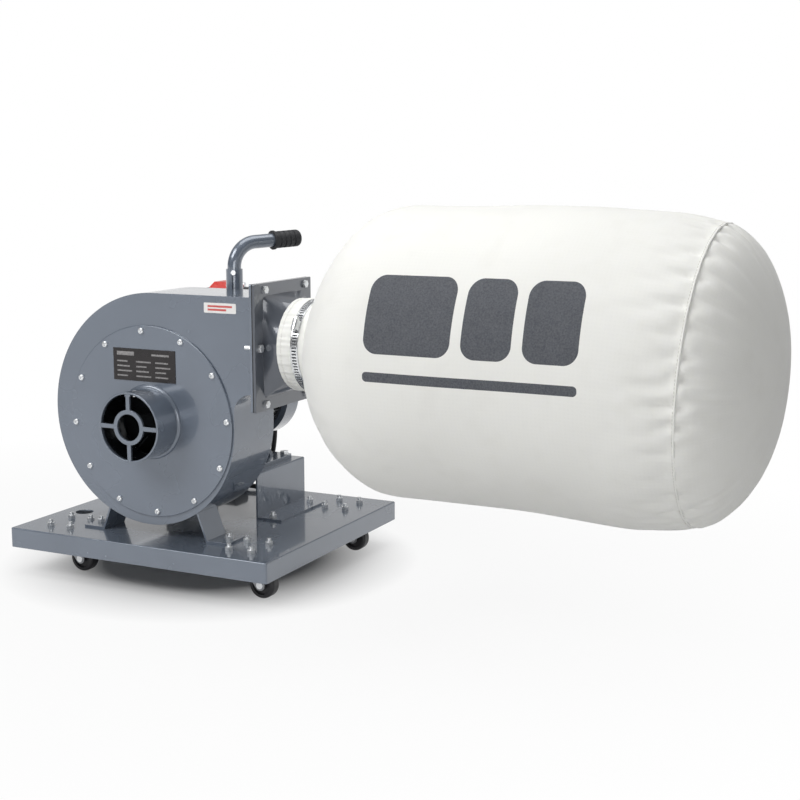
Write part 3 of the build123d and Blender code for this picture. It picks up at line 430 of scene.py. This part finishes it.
finishes = {
    # The casing grey carries painted shade inside the inlet pipe.
    "casing_grey": powder_coat("casing_grey", srgb(110, 119, 132), painted_shade=pipe_painted_shade),
    "hood_black": powder_coat("hood_black", srgb(82, 87, 96), 0.3, srgb(140, 144, 148)),
    "motor_black": powder_coat("motor_black", srgb(44, 46, 50), 0.42, srgb(130, 134, 138)),
    "gasket_rubber": moulding("gasket_rubber", srgb(34, 34, 36), 0.75),
    "zinc_steel": plated_steel("zinc_steel", srgb(232, 234, 236), 0.34),
    "caster_zinc": plated_steel("caster_zinc", srgb(150, 152, 156), 0.36),
    "caster_black": moulding("caster_black", srgb(38, 38, 42), 0.42, 700, 0.08),
    "machined_steel": plated_steel("machined_steel", srgb(176, 178, 182), 0.2, (1, 20, 1)),
    "impeller_paint": powder_coat("impeller_paint", srgb(66, 69, 74), 0.38, srgb(140, 142, 146)),
    "lamination_steel": laminations("lamination_steel", srgb(140, 142, 146), 0.5 * MM),
    "winding_copper": windings("winding_copper", srgb(186, 112, 66), 1.2 * MM),
    "fan_plastic": moulding("fan_plastic", srgb(48, 48, 50), 0.5),
    "switch_black": moulding("switch_black", srgb(44, 44, 48), 0.45),
    "start_green": moulding("start_green", srgb(30, 140, 66), 0.3, 1200, 0.02),
    "stop_red": moulding("stop_red", srgb(206, 52, 44), 0.3, 1200, 0.02, srgb(232, 150, 140)),
    "lead_rubber": moulding("lead_rubber", srgb(38, 38, 41), 0.6),
    "grip_rubber": moulding("grip_rubber", srgb(46, 47, 50), 0.62, 800, 0.1),
    "plate_black": printed_plate("plate_black"),
    "bag_fabric": bag_cloth("bag_fabric", printed=True),
    "band_steel": plated_steel("band_steel", srgb(214, 216, 218), 0.16, (1, 1, 30)),
}
for subpart in frame["record"]["subparts"]:
    piece = frame["nodes"][subpart["node"]]
    piece.data.materials.clear()
    piece.data.materials.append(finishes[subpart["material_slot"]])


# ---------------------------------------------------------------- mesh helpers

def finish_piece(name, mesh, material, body=ROOT):
    """Adds a mesh as a smooth-shaded piece that rides on a CAD body."""
    piece = bpy.data.objects.new(name, mesh)
    bpy.context.scene.collection.objects.link(piece)
    mesh.materials.append(material)
    mesh.polygons.foreach_set("use_smooth", [True] * len(mesh.polygons))
    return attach(piece, body)


def ease(value, start, end):
    """0 before start, 1 after end, with a smooth turn between them."""
    share = np.clip((value - start) / (end - start), 0, 1)
    return share * share * (3 - 2 * share)


def around(x, radius, angle):
    """Point at a radius and angle round the outlet's axis, which droops a little with the bag.
    Angle 0 is up and a quarter turn is -Y. The end seam leans forward at its top."""
    droop = seam_droop * ease(x, seam_place - 170 * MM, seam_place)
    droop = droop + end_droop * np.clip((x - seam_place) / (bag_end - seam_place), 0, 1)
    lean = seam_lean * ease(x, seam_place - 140 * MM, seam_place) * radius / seam_radius
    sideways = radius * np.sin(angle)
    up = radius * np.cos(angle)
    return (x + lean * np.cos(angle), axis_y - sideways, axis_z - droop + up)


def lathe(profile, steps, wobble=None):
    """Mesh of a closed (x, radius) profile turned round the outlet's axis."""
    mesh = bpy.data.meshes.new("lathe")
    count = len(profile)
    points = []
    for turn in range(steps):
        angle = 2 * math.pi * turn / steps
        for x, radius in profile:
            extra = wobble(x, angle) if wobble else 0.0
            points.append(around(x, radius + extra, angle))
    faces = []
    for turn in range(steps):
        after = (turn + 1) % steps
        for i in range(count):
            j = (i + 1) % count
            faces.append((turn * count + i, turn * count + j, after * count + j, after * count + i))
    mesh.from_pydata(points, [], faces)
    mesh.update()
    flip_outward(mesh)
    return mesh


def flip_outward(mesh):
    bm = bmesh.new()
    bm.from_mesh(mesh)
    bmesh.ops.recalc_face_normals(bm, faces=bm.faces)
    bm.to_mesh(mesh)
    bm.free()


def weave_map(mesh, metres_of):
    """UV map in metres, so that the threads keep their size."""
    layer = mesh.uv_layers.new(name="weave")
    for loop in mesh.loops:
        layer.data[loop.index].uv = metres_of(mesh.vertices[loop.vertex_index].co)


# ---------------------------------------------------------------- the filter bag

def bag_radius_at(x):
    """Neck, cone easing into a round shoulder, long barrel drawn in at the end seam, domed end."""
    rise = np.clip((x - flare_start) / shoulder_length, 0, 1)
    radius = neck_radius + (barrel_radius - neck_radius) * (1 - (1 - rise) ** 2.3)
    to_seam = np.maximum(seam_place - x, 0)
    radius = radius - (barrel_radius - seam_radius) * np.exp(-(to_seam / seam_draw) ** 1.3)
    dome = np.clip((x - seam_place) / (bag_end - seam_place), 0, 1)
    return np.where(x <= seam_place, radius, seam_radius * (1 - dome ** 1.6) ** (1 / 2.4))


def hang(x, angle):
    """How much further along the cloth leaves the neck towards the top, where the bag hangs from it."""
    rise = np.clip((x - flare_start) / shoulder_length, 0, 1)
    return neck_hang * (0.5 + 0.5 * np.cos(angle)) * (1 - rise) ** 1.5


def bag_stations(spacing):
    """Places along the axis, evenly spaced along the cloth, with one ring on the end seam."""
    tip_zone = 6 * MM
    fine = np.concatenate([
        np.linspace(band_low.x, bag_end - tip_zone, 4000),
        bag_end - tip_zone * (1 - np.linspace(0, 1, 3000)[1:]) ** 3,
    ])
    length = np.concatenate([[0], np.cumsum(np.hypot(np.diff(fine), np.diff(bag_radius_at(fine))))])
    seam_length = np.interp(seam_place, fine, length)
    before = round(seam_length / spacing)
    after = round((length[-1] - seam_length) / spacing)
    along = np.concatenate([
        np.linspace(0, seam_length, before + 1),
        np.linspace(seam_length, length[-1], after + 1)[1:-1],
    ])
    return np.interp(along, length, fine), along, before, length[-1]


def folds(x, angle):
    """Sewn-in fullness: gathers spreading from the neck, and slack at the bottom near the end."""
    past_neck = np.maximum(x - flare_start, 0)
    uneven = 0.6 + 0.25 * np.sin(3 * angle + 0.8) + 0.2 * np.sin(7 * angle + 2.1)
    pleat = np.cos(23 * angle + 1.4 * np.sin(3 * angle)) + 0.55 * np.cos(41 * angle + 1.9)
    fade = (1 - np.exp(-past_neck / (16 * MM))) * np.exp(-past_neck / (55 * MM))
    depth = gather_depth * uneven * pleat * fade
    slack = np.exp(-((x - seam_place + 120 * MM) / (100 * MM)) ** 2)
    return depth + slack_depth * slack * np.maximum(-np.cos(angle), 0) ** 1.5


def puckers(x, angle):
    """Short valleys that the stitching pulls into the cloth on both sides of the end seam."""
    wander = x + 10 * MM * np.sin(6 * angle + 1) + 7 * MM * np.sin(17 * angle)
    beyond = np.abs(x - seam_place)
    uneven = 1 + 0.5 * np.sin(9 * angle + 2) * np.sin(4 * angle)
    reach = np.where(x < seam_place, 24 * MM, 20 * MM) * uneven
    near = np.exp(-beyond / reach) * (1 - np.exp(-beyond / (4 * MM)))
    patchy = 0.75 + 0.35 * np.sin(5 * angle + 0.4) + 0.3 * np.sin(8 * angle + 1.1)
    slant = 9 * (x - seam_place) / seam_radius
    wave = np.cos(37 * angle + 1.8 * np.sin(4 * angle) + slant) + 0.7 * np.cos(59 * angle + 0.7 - slant)
    crease = 0.8 * MM * np.sin(70 * wander) * np.cos(3 * angle) * np.exp(-beyond / (110 * MM))
    valleys = pucker_depth * patchy * np.minimum(wave, 0.3) * near
    return valleys + crease * (1 - np.exp(-beyond / (12 * MM)))


def swell(x, angle):
    """Broad uneven fullness of the filled cloth."""
    waves = np.sin(11 * x + 2 * angle) + 0.7 * np.sin(23 * x - 3 * angle + 1)
    waves = waves + 0.5 * np.sin(37 * x + 5 * angle)
    return 0.9 * MM * waves * ease(x, flare_start, flare_start + 80 * MM)


def make_bag_cloth():
    """The bag as one lofted sheet, from under the band clamp to the middle of the end panel."""
    stations, along, seam_row, cloth_length = bag_stations(cloth_spacing)
    steps = cloth_steps
    rows = len(stations)
    x = np.repeat(stations, steps)
    angle = np.tile(2 * math.pi * np.arange(steps) / steps, rows)
    radius = bag_radius_at(x - hang(x, angle))
    calm = np.minimum(radius / seam_radius, 1)
    shaped = np.maximum(radius + folds(x, angle) * calm + swell(x, angle) * calm, 0.4 * MM)
    past_neck = np.maximum(x - flare_start, 0)
    spare = 0.050 * np.exp(-past_neck / (55 * MM)) * (1 - np.exp(-past_neck / (8 * MM)))
    beyond = np.abs(x - seam_place)
    spare += 0.060 * np.exp(-beyond / (28 * MM)) * (1 - np.exp(-beyond / (6 * MM)))
    tip = np.array([[bag_end, axis_y, around(bag_end, 0.0, 0.0)[2]]])
    points = np.concatenate([np.stack(around(x, shaped, angle), axis=1), tip])
    rest = np.concatenate([np.stack(around(x, radius * (1 + spare), angle), axis=1), tip])
    on_seam = np.arange(len(x)) // steps == seam_row
    held = np.append((x <= flare_start + 2 * MM) | on_seam, False)
    turn = np.arange(steps)
    after = (turn + 1) % steps
    first = np.arange(rows - 1)[:, None] * steps
    quads = np.stack([first + turn, first + after, first + steps + after, first + steps + turn], axis=2)
    faces = quads.reshape(-1, 4).tolist()
    last = (rows - 1) * steps
    pairs = zip(turn.tolist(), after.tolist())
    faces += [(last + i, last + j, rows * steps) for i, j in pairs]
    mesh = bpy.data.meshes.new("bag_cloth")
    mesh.from_pydata(points.tolist(), [], faces)
    mesh.update()
    flip_outward(mesh)
    tilt = math.radians(70) * np.clip((x - seam_place) / (bag_end - seam_place), 0, 1) ** 0.6
    outward = np.stack([np.sin(tilt), -np.cos(tilt) * np.sin(angle), np.cos(tilt) * np.cos(angle)], axis=1)
    stitched = np.append(outward * (puckers(x, angle) * calm)[:, None], [[0, 0, 0]], axis=0)
    return mesh, rest, np.flatnonzero(held).tolist(), stitched, np.append(along, cloth_length), steps


def weave_bag(mesh, along, steps):
    """Threads run along and round the bag: u is the cloth length, v the girth at the barrel."""
    layer = mesh.uv_layers.new(name="weave")
    corners = np.zeros(len(mesh.loops), int)
    mesh.loops.foreach_get("vertex_index", corners)
    owner = np.repeat(np.arange(len(mesh.polygons)), [p.loop_total for p in mesh.polygons])
    turn = corners % steps
    tip = corners == len(mesh.vertices) - 1
    most = np.zeros(len(mesh.polygons), int)
    np.maximum.at(most, owner[~tip], turn[~tip])
    wrapped = (most[owner] == steps - 1) & (turn < steps / 2)
    turn = np.where(tip, most[owner], turn + steps * wrapped)
    girth = 2 * math.pi * barrel_radius
    coordinates = np.stack([along[corners // steps], turn / steps * girth], axis=1)
    layer.data.foreach_set("uv", coordinates.ravel())


def settle(piece, rest, held, cap, frames):
    """Lets the cloth give a little under air pressure, then keeps the result as the mesh itself."""
    count = len(piece.data.vertices)
    before = np.zeros(count * 3)
    piece.data.vertices.foreach_get("co", before)
    before = before.reshape(-1, 3)
    group = piece.vertex_groups.new(name="held")
    group.add(held, 1.0, "REPLACE")
    piece.shape_key_add(name="Basis")
    cut = piece.shape_key_add(name="cut")
    cut.data.foreach_set("co", rest.ravel())
    cloth = piece.modifiers.new("cloth", "CLOTH")
    settings = cloth.settings
    settings.quality = 6
    settings.mass = 0.2
    settings.tension_stiffness = 60
    settings.compression_stiffness = 30
    settings.shear_stiffness = 12
    settings.bending_stiffness = 0.4
    settings.air_damping = 2
    settings.use_pressure = True
    settings.uniform_pressure_force = cloth_pressure
    settings.effector_weights.gravity = cloth_weight
    settings.vertex_group_mass = "held"
    settings.rest_shape_key = cut
    cloth.collision_settings.use_collision = False
    cloth.collision_settings.use_self_collision = False
    cloth.point_cache.frame_start = 1
    cloth.point_cache.frame_end = frames
    scene = bpy.context.scene
    for step in range(1, frames + 1):
        scene.frame_set(step)
    graph = bpy.context.evaluated_depsgraph_get()
    settled = np.zeros(count * 3)
    piece.evaluated_get(graph).data.vertices.foreach_get("co", settled)
    moved = settled.reshape(-1, 3) - before
    size = np.linalg.norm(moved, axis=1, keepdims=True)
    moved *= np.minimum(1.0, cap / np.maximum(size, 1e-9))
    print("cloth moved", round(float(size.mean()) * 1000, 2), "mm mean,",
          round(float(size.max()) * 1000, 2), "mm most")
    piece.modifiers.remove(cloth)
    piece.shape_key_clear()
    piece.data.vertices.foreach_set("co", (before + moved).ravel())
    piece.data.update()
    scene.frame_set(1)


def pull_in(mesh, shift):
    """Moves the settled cloth inwards along the end seam, by one shift for each vertex."""
    place = np.zeros(len(mesh.vertices) * 3)
    mesh.vertices.foreach_get("co", place)
    mesh.vertices.foreach_set("co", place + shift.ravel())
    mesh.update()


bag_mesh, bag_rest, bag_held, bag_stitched, bag_along, bag_steps = make_bag_cloth()
weave_bag(bag_mesh, bag_along, bag_steps)
bag = finish_piece("bag_cloth", bag_mesh, finishes["bag_fabric"])
settle(bag, bag_rest, bag_held, cap=cloth_cap, frames=cloth_frames)
pull_in(bag_mesh, bag_stitched)
smoother = bag.modifiers.new("smooth", "SUBSURF")
smoother.levels = 1
smoother.render_levels = 1
sheet = bag.modifiers.new("thickness", "SOLIDIFY")
sheet.thickness = cloth_thickness
sheet.offset = -1
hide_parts("dust_bag")


# ---------------------------------------------------------------- hem, seam and stitches

def make_hem():
    """Turned-over hem between the hood and the band, with a rolled front edge."""
    front = bag_start
    inner = neck_radius - 1.4 * MM
    outer = neck_radius + 0.9 * MM
    roll = 2.2 * MM
    profile = [(band_low.x + 5 * MM, inner), (front + roll, inner)]
    for i in range(1, 8):
        angle = math.pi * i / 8
        middle = (inner + outer + 0.5 * MM) / 2
        half = (outer + 0.5 * MM - inner) / 2
        profile.append((front + roll - roll * math.sin(angle), middle - half * math.cos(angle)))
    profile += [(front + roll, outer + 0.5 * MM), (front + 6 * MM, outer - 0.4 * MM)]
    profile += [(front + 7 * MM, outer - 0.4 * MM), (front + 12 * MM, outer + 0.6 * MM)]
    profile += [(band_low.x - 3 * MM, outer + 0.6 * MM), (band_low.x - 0.5 * MM, outer - 0.8 * MM)]
    profile.append((band_low.x + 5 * MM, neck_radius - 0.2 * MM))

    def crease(x, angle):
        ripple = math.sin(38 * angle + 2 * math.sin(5 * angle)) + 0.6 * math.sin(61 * angle)
        return 0.35 * MM * ripple * (1 if x > front + 4 * MM else 0.5)

    mesh = lathe(profile, 300, crease)
    weave_map(mesh, lambda p: (p.x, math.atan2(p.y - axis_y, p.z - axis_z) * neck_radius))
    return finish_piece("bag_hem", mesh, finishes["bag_fabric_plain"])


def stitch_ring(name, x, radius, count, length, thickness):
    """Short thread stitches laid end to end round the bag."""
    bm = bmesh.new()
    for i in range(count):
        angle = 2 * math.pi * (i + 0.5) / count
        centre = Vector(around(x, radius, angle))
        outward = Vector((0, -math.sin(angle), math.cos(angle)))
        side = Vector((1, 0, 0))
        run = outward.cross(side)
        turn = Matrix((run, side, outward)).transposed().to_4x4()
        shape = Matrix.Diagonal((length / 2, thickness / 2, thickness / 2, 1))
        place = Matrix.Translation(centre) @ turn @ shape
        bmesh.ops.create_icosphere(bm, subdivisions=2, radius=1, matrix=place)
    mesh = bpy.data.meshes.new(name)
    bm.to_mesh(mesh)
    bm.free()
    return finish_piece(name, mesh, finishes["thread"])


def make_seam_cord():
    """The joined edge of barrel and end panel, standing as a low rounded welt."""
    half = 1.5 * MM
    profile = []
    for i in range(10):
        angle = 2 * math.pi * i / 10
        radius = seam_radius + 0.2 * MM + half * math.sin(angle)
        profile.append((seam_place + half * math.cos(angle), radius))

    def gather(x, angle):
        return 0.35 * MM * math.sin(140 * angle) + 0.5 * MM * math.sin(31 * angle + math.sin(9 * angle))

    mesh = lathe(profile, 720, gather)
    weave_map(mesh, lambda p: (p.x, math.atan2(p.y - axis_y, p.z - axis_z) * seam_radius))
    return finish_piece("bag_end_seam", mesh, finishes["bag_fabric_plain"])


finishes["bag_fabric_plain"] = bag_cloth("bag_fabric_plain")
finishes["thread"] = moulding("thread", srgb(214, 213, 208), 0.8, 1500, 0.15, srgb(230, 230, 228))
make_hem()
make_seam_cord()
stitch_ring("bag_hem_stitches", bag_start + 6.5 * MM, neck_radius + 0.8 * MM, 110, 2.6 * MM, 0.8 * MM)
stitch_ring("bag_seam_stitches", seam_place - 1.6 * MM, seam_radius + 1.5 * MM, 260, 3.2 * MM, 0.8 * MM)


# ---------------------------------------------------------------- band clamp

def make_band():
    """Worm-drive band: a rolled-edge strip with pressed slots all round, under its screw housing. The slot
    floors take a darker steel, as painted shade.
    """
    slots = 92
    steps = slots * 4
    inner = neck_radius + 0.1 * MM
    outer = inner + 1.0 * MM
    pressed = inner + 0.35 * MM
    margin = 2.6 * MM
    width = band_high.x - band_low.x
    stations = [(0, outer - 0.4 * MM), (0.5 * MM, outer), (margin, outer), (width - margin, outer),
                (width - 0.5 * MM, outer), (width, outer - 0.4 * MM), (width, inner), (0, inner)]
    bm = bmesh.new()
    rows = []
    for turn in range(steps):
        angle = 2 * math.pi * turn / steps
        rows.append([bm.verts.new(around(band_low.x + x, radius, angle)) for x, radius in stations])
    slot_faces = []
    for turn in range(steps):
        row, after = rows[turn], rows[(turn + 1) % steps]
        for i in range(len(stations)):
            j = (i + 1) % len(stations)
            face = bm.faces.new((row[i], row[j], after[j], after[i]))
            if i == 2 and turn % 4 in (0, 1):
                slot_faces.append(face)
    for i in range(0, len(slot_faces), 2):
        pair = slot_faces[i:i + 2]
        made = bmesh.ops.extrude_face_region(bm, geom=pair)
        for vert in (v for v in made["geom"] if isinstance(v, bmesh.types.BMVert)):
            arm = Vector((0, vert.co.y - axis_y, vert.co.z - axis_z))
            vert.co -= arm.normalized() * (outer - pressed)
        for face in (f for f in made["geom"] if isinstance(f, bmesh.types.BMFace)):
            face.material_index = 1
        bmesh.ops.delete(bm, geom=pair, context="FACES_ONLY")
    bmesh.ops.recalc_face_normals(bm, faces=bm.faces)
    mesh = bpy.data.meshes.new("band")
    bm.to_mesh(mesh)
    bm.free()
    piece = finish_piece("bag_band", mesh, finishes["band_steel"])
    mesh.materials.append(finishes["band_slot_shade"])
    mesh.polygons.foreach_set("use_smooth", [False] * len(mesh.polygons))
    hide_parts("band_clamp")
    return piece


def make_worm():
    """Screw housing pressed from sheet, with the worm's hexagon head beside it."""
    angle = math.radians(60)
    x = (band_low.x + band_high.x) / 2
    outward = Vector((0, -math.sin(angle), math.cos(angle)))
    side = Vector((1, 0, 0))
    run = outward.cross(side)
    base = Vector((x, axis_y, axis_z)) + outward * (neck_radius + 1.3 * MM)
    turn = Matrix((run, side, outward)).transposed().to_4x4()
    place = Matrix.Translation(base) @ turn
    bm = bmesh.new()
    half_run, half_side = 7 * MM, 5.2 * MM
    arch = [(-half_side, 0)]
    for i in range(13):
        sweep = math.pi * i / 12
        arch.append((-half_side * math.cos(sweep), 3.4 * MM + 4.6 * MM * math.sin(sweep)))
    arch.append((half_side, 0))
    ends = []
    for along in (-half_run, half_run):
        ends.append([bm.verts.new(place @ Vector((along, y, z))) for y, z in arch])
    count = len(arch)
    for i in range(count):
        j = (i + 1) % count
        bm.faces.new((ends[0][i], ends[0][j], ends[1][j], ends[1][i]))
    bm.faces.new(ends[0])
    bm.faces.new(reversed(ends[1]))
    spin = Matrix.Rotation(math.pi / 2, 4, "Y")
    for offset, radius, depth, sides in ((9.2, 3.6, 4.6, 6), (7.6, 4.4, 1.2, 32), (-8.2, 2.6, 2.6, 32)):
        where = place @ Matrix.Translation((offset * MM, 0, 4.4 * MM)) @ spin
        bmesh.ops.create_cone(bm, cap_ends=True, segments=sides, radius1=radius * MM,
                              radius2=radius * MM, depth=depth * MM, matrix=where)
    slot = place @ Matrix.Translation((11.5 * MM, 0, 4.4 * MM))
    slot = slot @ Matrix.Diagonal((0.6 * MM, 5.6 * MM, 1.0 * MM, 1))
    bmesh.ops.create_cube(bm, size=1, matrix=slot)
    bmesh.ops.recalc_face_normals(bm, faces=bm.faces)
    bmesh.ops.bevel(bm, geom=bm.edges[:], offset=0.25 * MM, segments=2, affect="EDGES",
                    clamp_overlap=True)
    mesh = bpy.data.meshes.new("worm")
    bm.to_mesh(mesh)
    bm.free()
    piece = finish_piece("bag_band_screw", mesh, finishes["band_steel"])
    mesh.polygons.foreach_set("use_smooth", [False] * len(mesh.polygons))
    return piece


# Dark steel for the slot floors: painted shade in the pressed slots.
finishes["band_slot_shade"] = plated_steel("band_slot_shade", srgb(70, 72, 76), 0.5)
make_band()
make_worm()


# ---------------------------------------------------------------- sticker

def make_sticker():
    """Thin rounded vinyl label on the front plate, beside the duct."""
    width, height, corner = 52 * MM, 14 * MM, 1.5 * MM
    from_right, from_top = 87.4 * MM, 23.6 * MM
    left = plate_high.x - from_right
    low_z = plate_high.z - from_top
    outline = []
    for quarter, (cx, cz) in enumerate(((1, 1), (0, 1), (0, 0), (1, 0))):
        for i in range(6):
            angle = math.pi / 2 * (quarter + i / 5)
            outline.append((
                left + corner + cx * (width - 2 * corner) + corner * math.cos(angle),
                low_z + corner + cz * (height - 2 * corner) + corner * math.sin(angle),
            ))
    bm = bmesh.new()
    face_y = plate_low.y
    front = [bm.verts.new((x, face_y - 0.25 * MM, z)) for x, z in outline]
    back = [bm.verts.new((x, face_y - 0.02 * MM, z)) for x, z in outline]
    bm.faces.new(front)
    bm.faces.new(reversed(back))
    for i in range(len(outline)):
        j = (i + 1) % len(outline)
        bm.faces.new((front[i], back[i], back[j], front[j]))
    bmesh.ops.recalc_face_normals(bm, faces=bm.faces)
    mesh = bpy.data.meshes.new("sticker")
    bm.to_mesh(mesh)
    bm.free()
    low = Vector((left, face_y, low_z))
    high = Vector((left + width, face_y, low_z + height))
    piece = finish_piece("front_sticker", mesh, sticker_paper("sticker_paper", low, high))
    mesh.polygons.foreach_set("use_smooth", [False] * len(mesh.polygons))
    return piece


make_sticker()


# ---------------------------------------------------------------- stage, light and camera

def make_floor():
    """White paper: it keeps a soft contact shadow near the object and burns out far away."""
    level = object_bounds()[0].z - 0.2 * MM
    mesh = bpy.data.meshes.new("floor")
    size = 30.0
    corners = [(-size, -size), (size, -size), (size, size), (-size, size)]
    mesh.from_pydata([(x, y, level) for x, y in corners], [], [(0, 1, 2, 3)])
    floor = bpy.data.objects.new("floor", mesh)
    bpy.context.scene.collection.objects.link(floor)
    s = Shader("floor_paper")
    s.principled(Base_Color=s.tinted(srgb(208, 208, 208), 0.01, 2), Roughness=0.95)
    glow = s.add("ShaderNodeEmission")
    mix = s.add("ShaderNodeMixShader")
    path = s.add("ShaderNodeLightPath")
    ray = s.math("MAXIMUM", path.outputs["Is Camera Ray"], path.outputs["Is Glossy Ray"])
    apart = s.add("ShaderNodeVectorMath", operation="DISTANCE")
    s.feed(s.object_place, apart.inputs[0])
    apart.inputs[1].default_value = (deck.x, deck.y, level)
    under_tray = s.spread(apart.outputs["Value"], 0.0, 0.9, 0.16, 0.32)
    far = s.spread(apart.outputs["Value"], 0.0, 0.1, 0.45, 1.1)
    s.feed(s.math("MULTIPLY", s.math("ADD", under_tray, far), ray), mix.inputs[0])
    s.tree.links.new(s.bsdf.outputs[0], mix.inputs[1])
    s.tree.links.new(glow.outputs[0], mix.inputs[2])
    s.tree.links.new(mix.outputs[0], s.tree.nodes["Material Output"].inputs["Surface"])
    mesh.materials.append(s.material)


def make_world():
    """White to the camera; for light, a dim room with a bright backdrop behind and above."""
    world = bpy.data.worlds.new("studio")
    bpy.context.scene.world = world
    world.use_nodes = True
    tree = world.node_tree
    tree.nodes.clear()

    def add(kind, **settings):
        made = tree.nodes.new(kind)
        for key, value in settings.items():
            setattr(made, key, value)
        return made

    def ramp(socket, start, end, low, high):
        made = add("ShaderNodeMapRange", interpolation_type="SMOOTHSTEP")
        tree.links.new(socket, made.inputs["Value"])
        for key, number in (("From Min", start), ("From Max", end), ("To Min", low), ("To Max", high)):
            made.inputs[key].default_value = number
        return made.outputs["Result"]

    out = add("ShaderNodeOutputWorld")
    ray = add("ShaderNodeLightPath")
    mix = add("ShaderNodeMixShader")
    seen = add("ShaderNodeBackground")
    dome = add("ShaderNodeBackground")
    split = add("ShaderNodeSeparateXYZ")
    backdrop = add("ShaderNodeMath", operation="MULTIPLY")
    total = add("ShaderNodeMath", operation="ADD")
    tree.links.new(add("ShaderNodeTexCoord").outputs["Generated"], split.inputs[0])
    tree.links.new(ramp(split.outputs["Y"], 0.0, 0.8, 0.0, 1.0), backdrop.inputs[0])
    tree.links.new(ramp(split.outputs["Z"], 0.08, 0.35, 1.0, 0.35), backdrop.inputs[1])
    tree.links.new(backdrop.outputs[0], total.inputs[0])
    tree.links.new(ramp(split.outputs["Z"], 0.3, 0.9, 0.10, 0.35), total.inputs[1])
    tree.links.new(total.outputs[0], dome.inputs["Strength"])
    tree.links.new(ray.outputs["Is Camera Ray"], mix.inputs[0])
    tree.links.new(dome.outputs[0], mix.inputs[1])
    tree.links.new(seen.outputs[0], mix.inputs[2])
    tree.links.new(mix.outputs[0], out.inputs["Surface"])
    seen.inputs["Color"].default_value = (1, 1, 1, 1)


def softbox(name, place, target, size, power):
    light = bpy.data.lights.new(name, "AREA")
    light.shape = "RECTANGLE"
    light.size, light.size_y = size
    light.energy = power
    lamp = bpy.data.objects.new(name, light)
    bpy.context.scene.collection.objects.link(lamp)
    lamp.location = deck + Vector(place)
    lamp.rotation_euler = (Vector(target) - Vector(place)).to_track_quat("-Z", "Y").to_euler()


# Measured from the middle of the tray's top face; the lens is for a 36 mm wide sensor.
camera_place = (1.1815, -1.7670, 0.5297)
camera_target = (0.3241, 0.0, 0.2010)
camera_lens = 63.38


def make_camera():
    """Low three-quarter view from the inlet side, as wide as the whole machine."""
    camera = bpy.data.objects.new("camera", bpy.data.cameras.new("camera"))
    bpy.context.scene.collection.objects.link(camera)
    place = deck + Vector(camera_place)
    target = deck + Vector(camera_target)
    camera.location = place
    camera.rotation_euler = (target - place).to_track_quat("-Z", "Y").to_euler()
    camera.data.lens = camera_lens
    camera.data.sensor_width = 36
    bpy.context.scene.camera = camera


make_floor()
make_world()
softbox("key", (-0.9, -1.8, 1.9), (0.4, -0.1, 0.15), (1.6, 1.2), 39)
softbox("top", (0.3, 0.1, 2.2), (0.4, 0.0, 0.1), (2.0, 1.4), 24)
softbox("front", (1.5, -2.5, 0.5), (0.5, 0.0, 0.2), (1.6, 0.8), 15)
make_camera()
bpy.context.scene.view_settings.view_transform = "Standard"
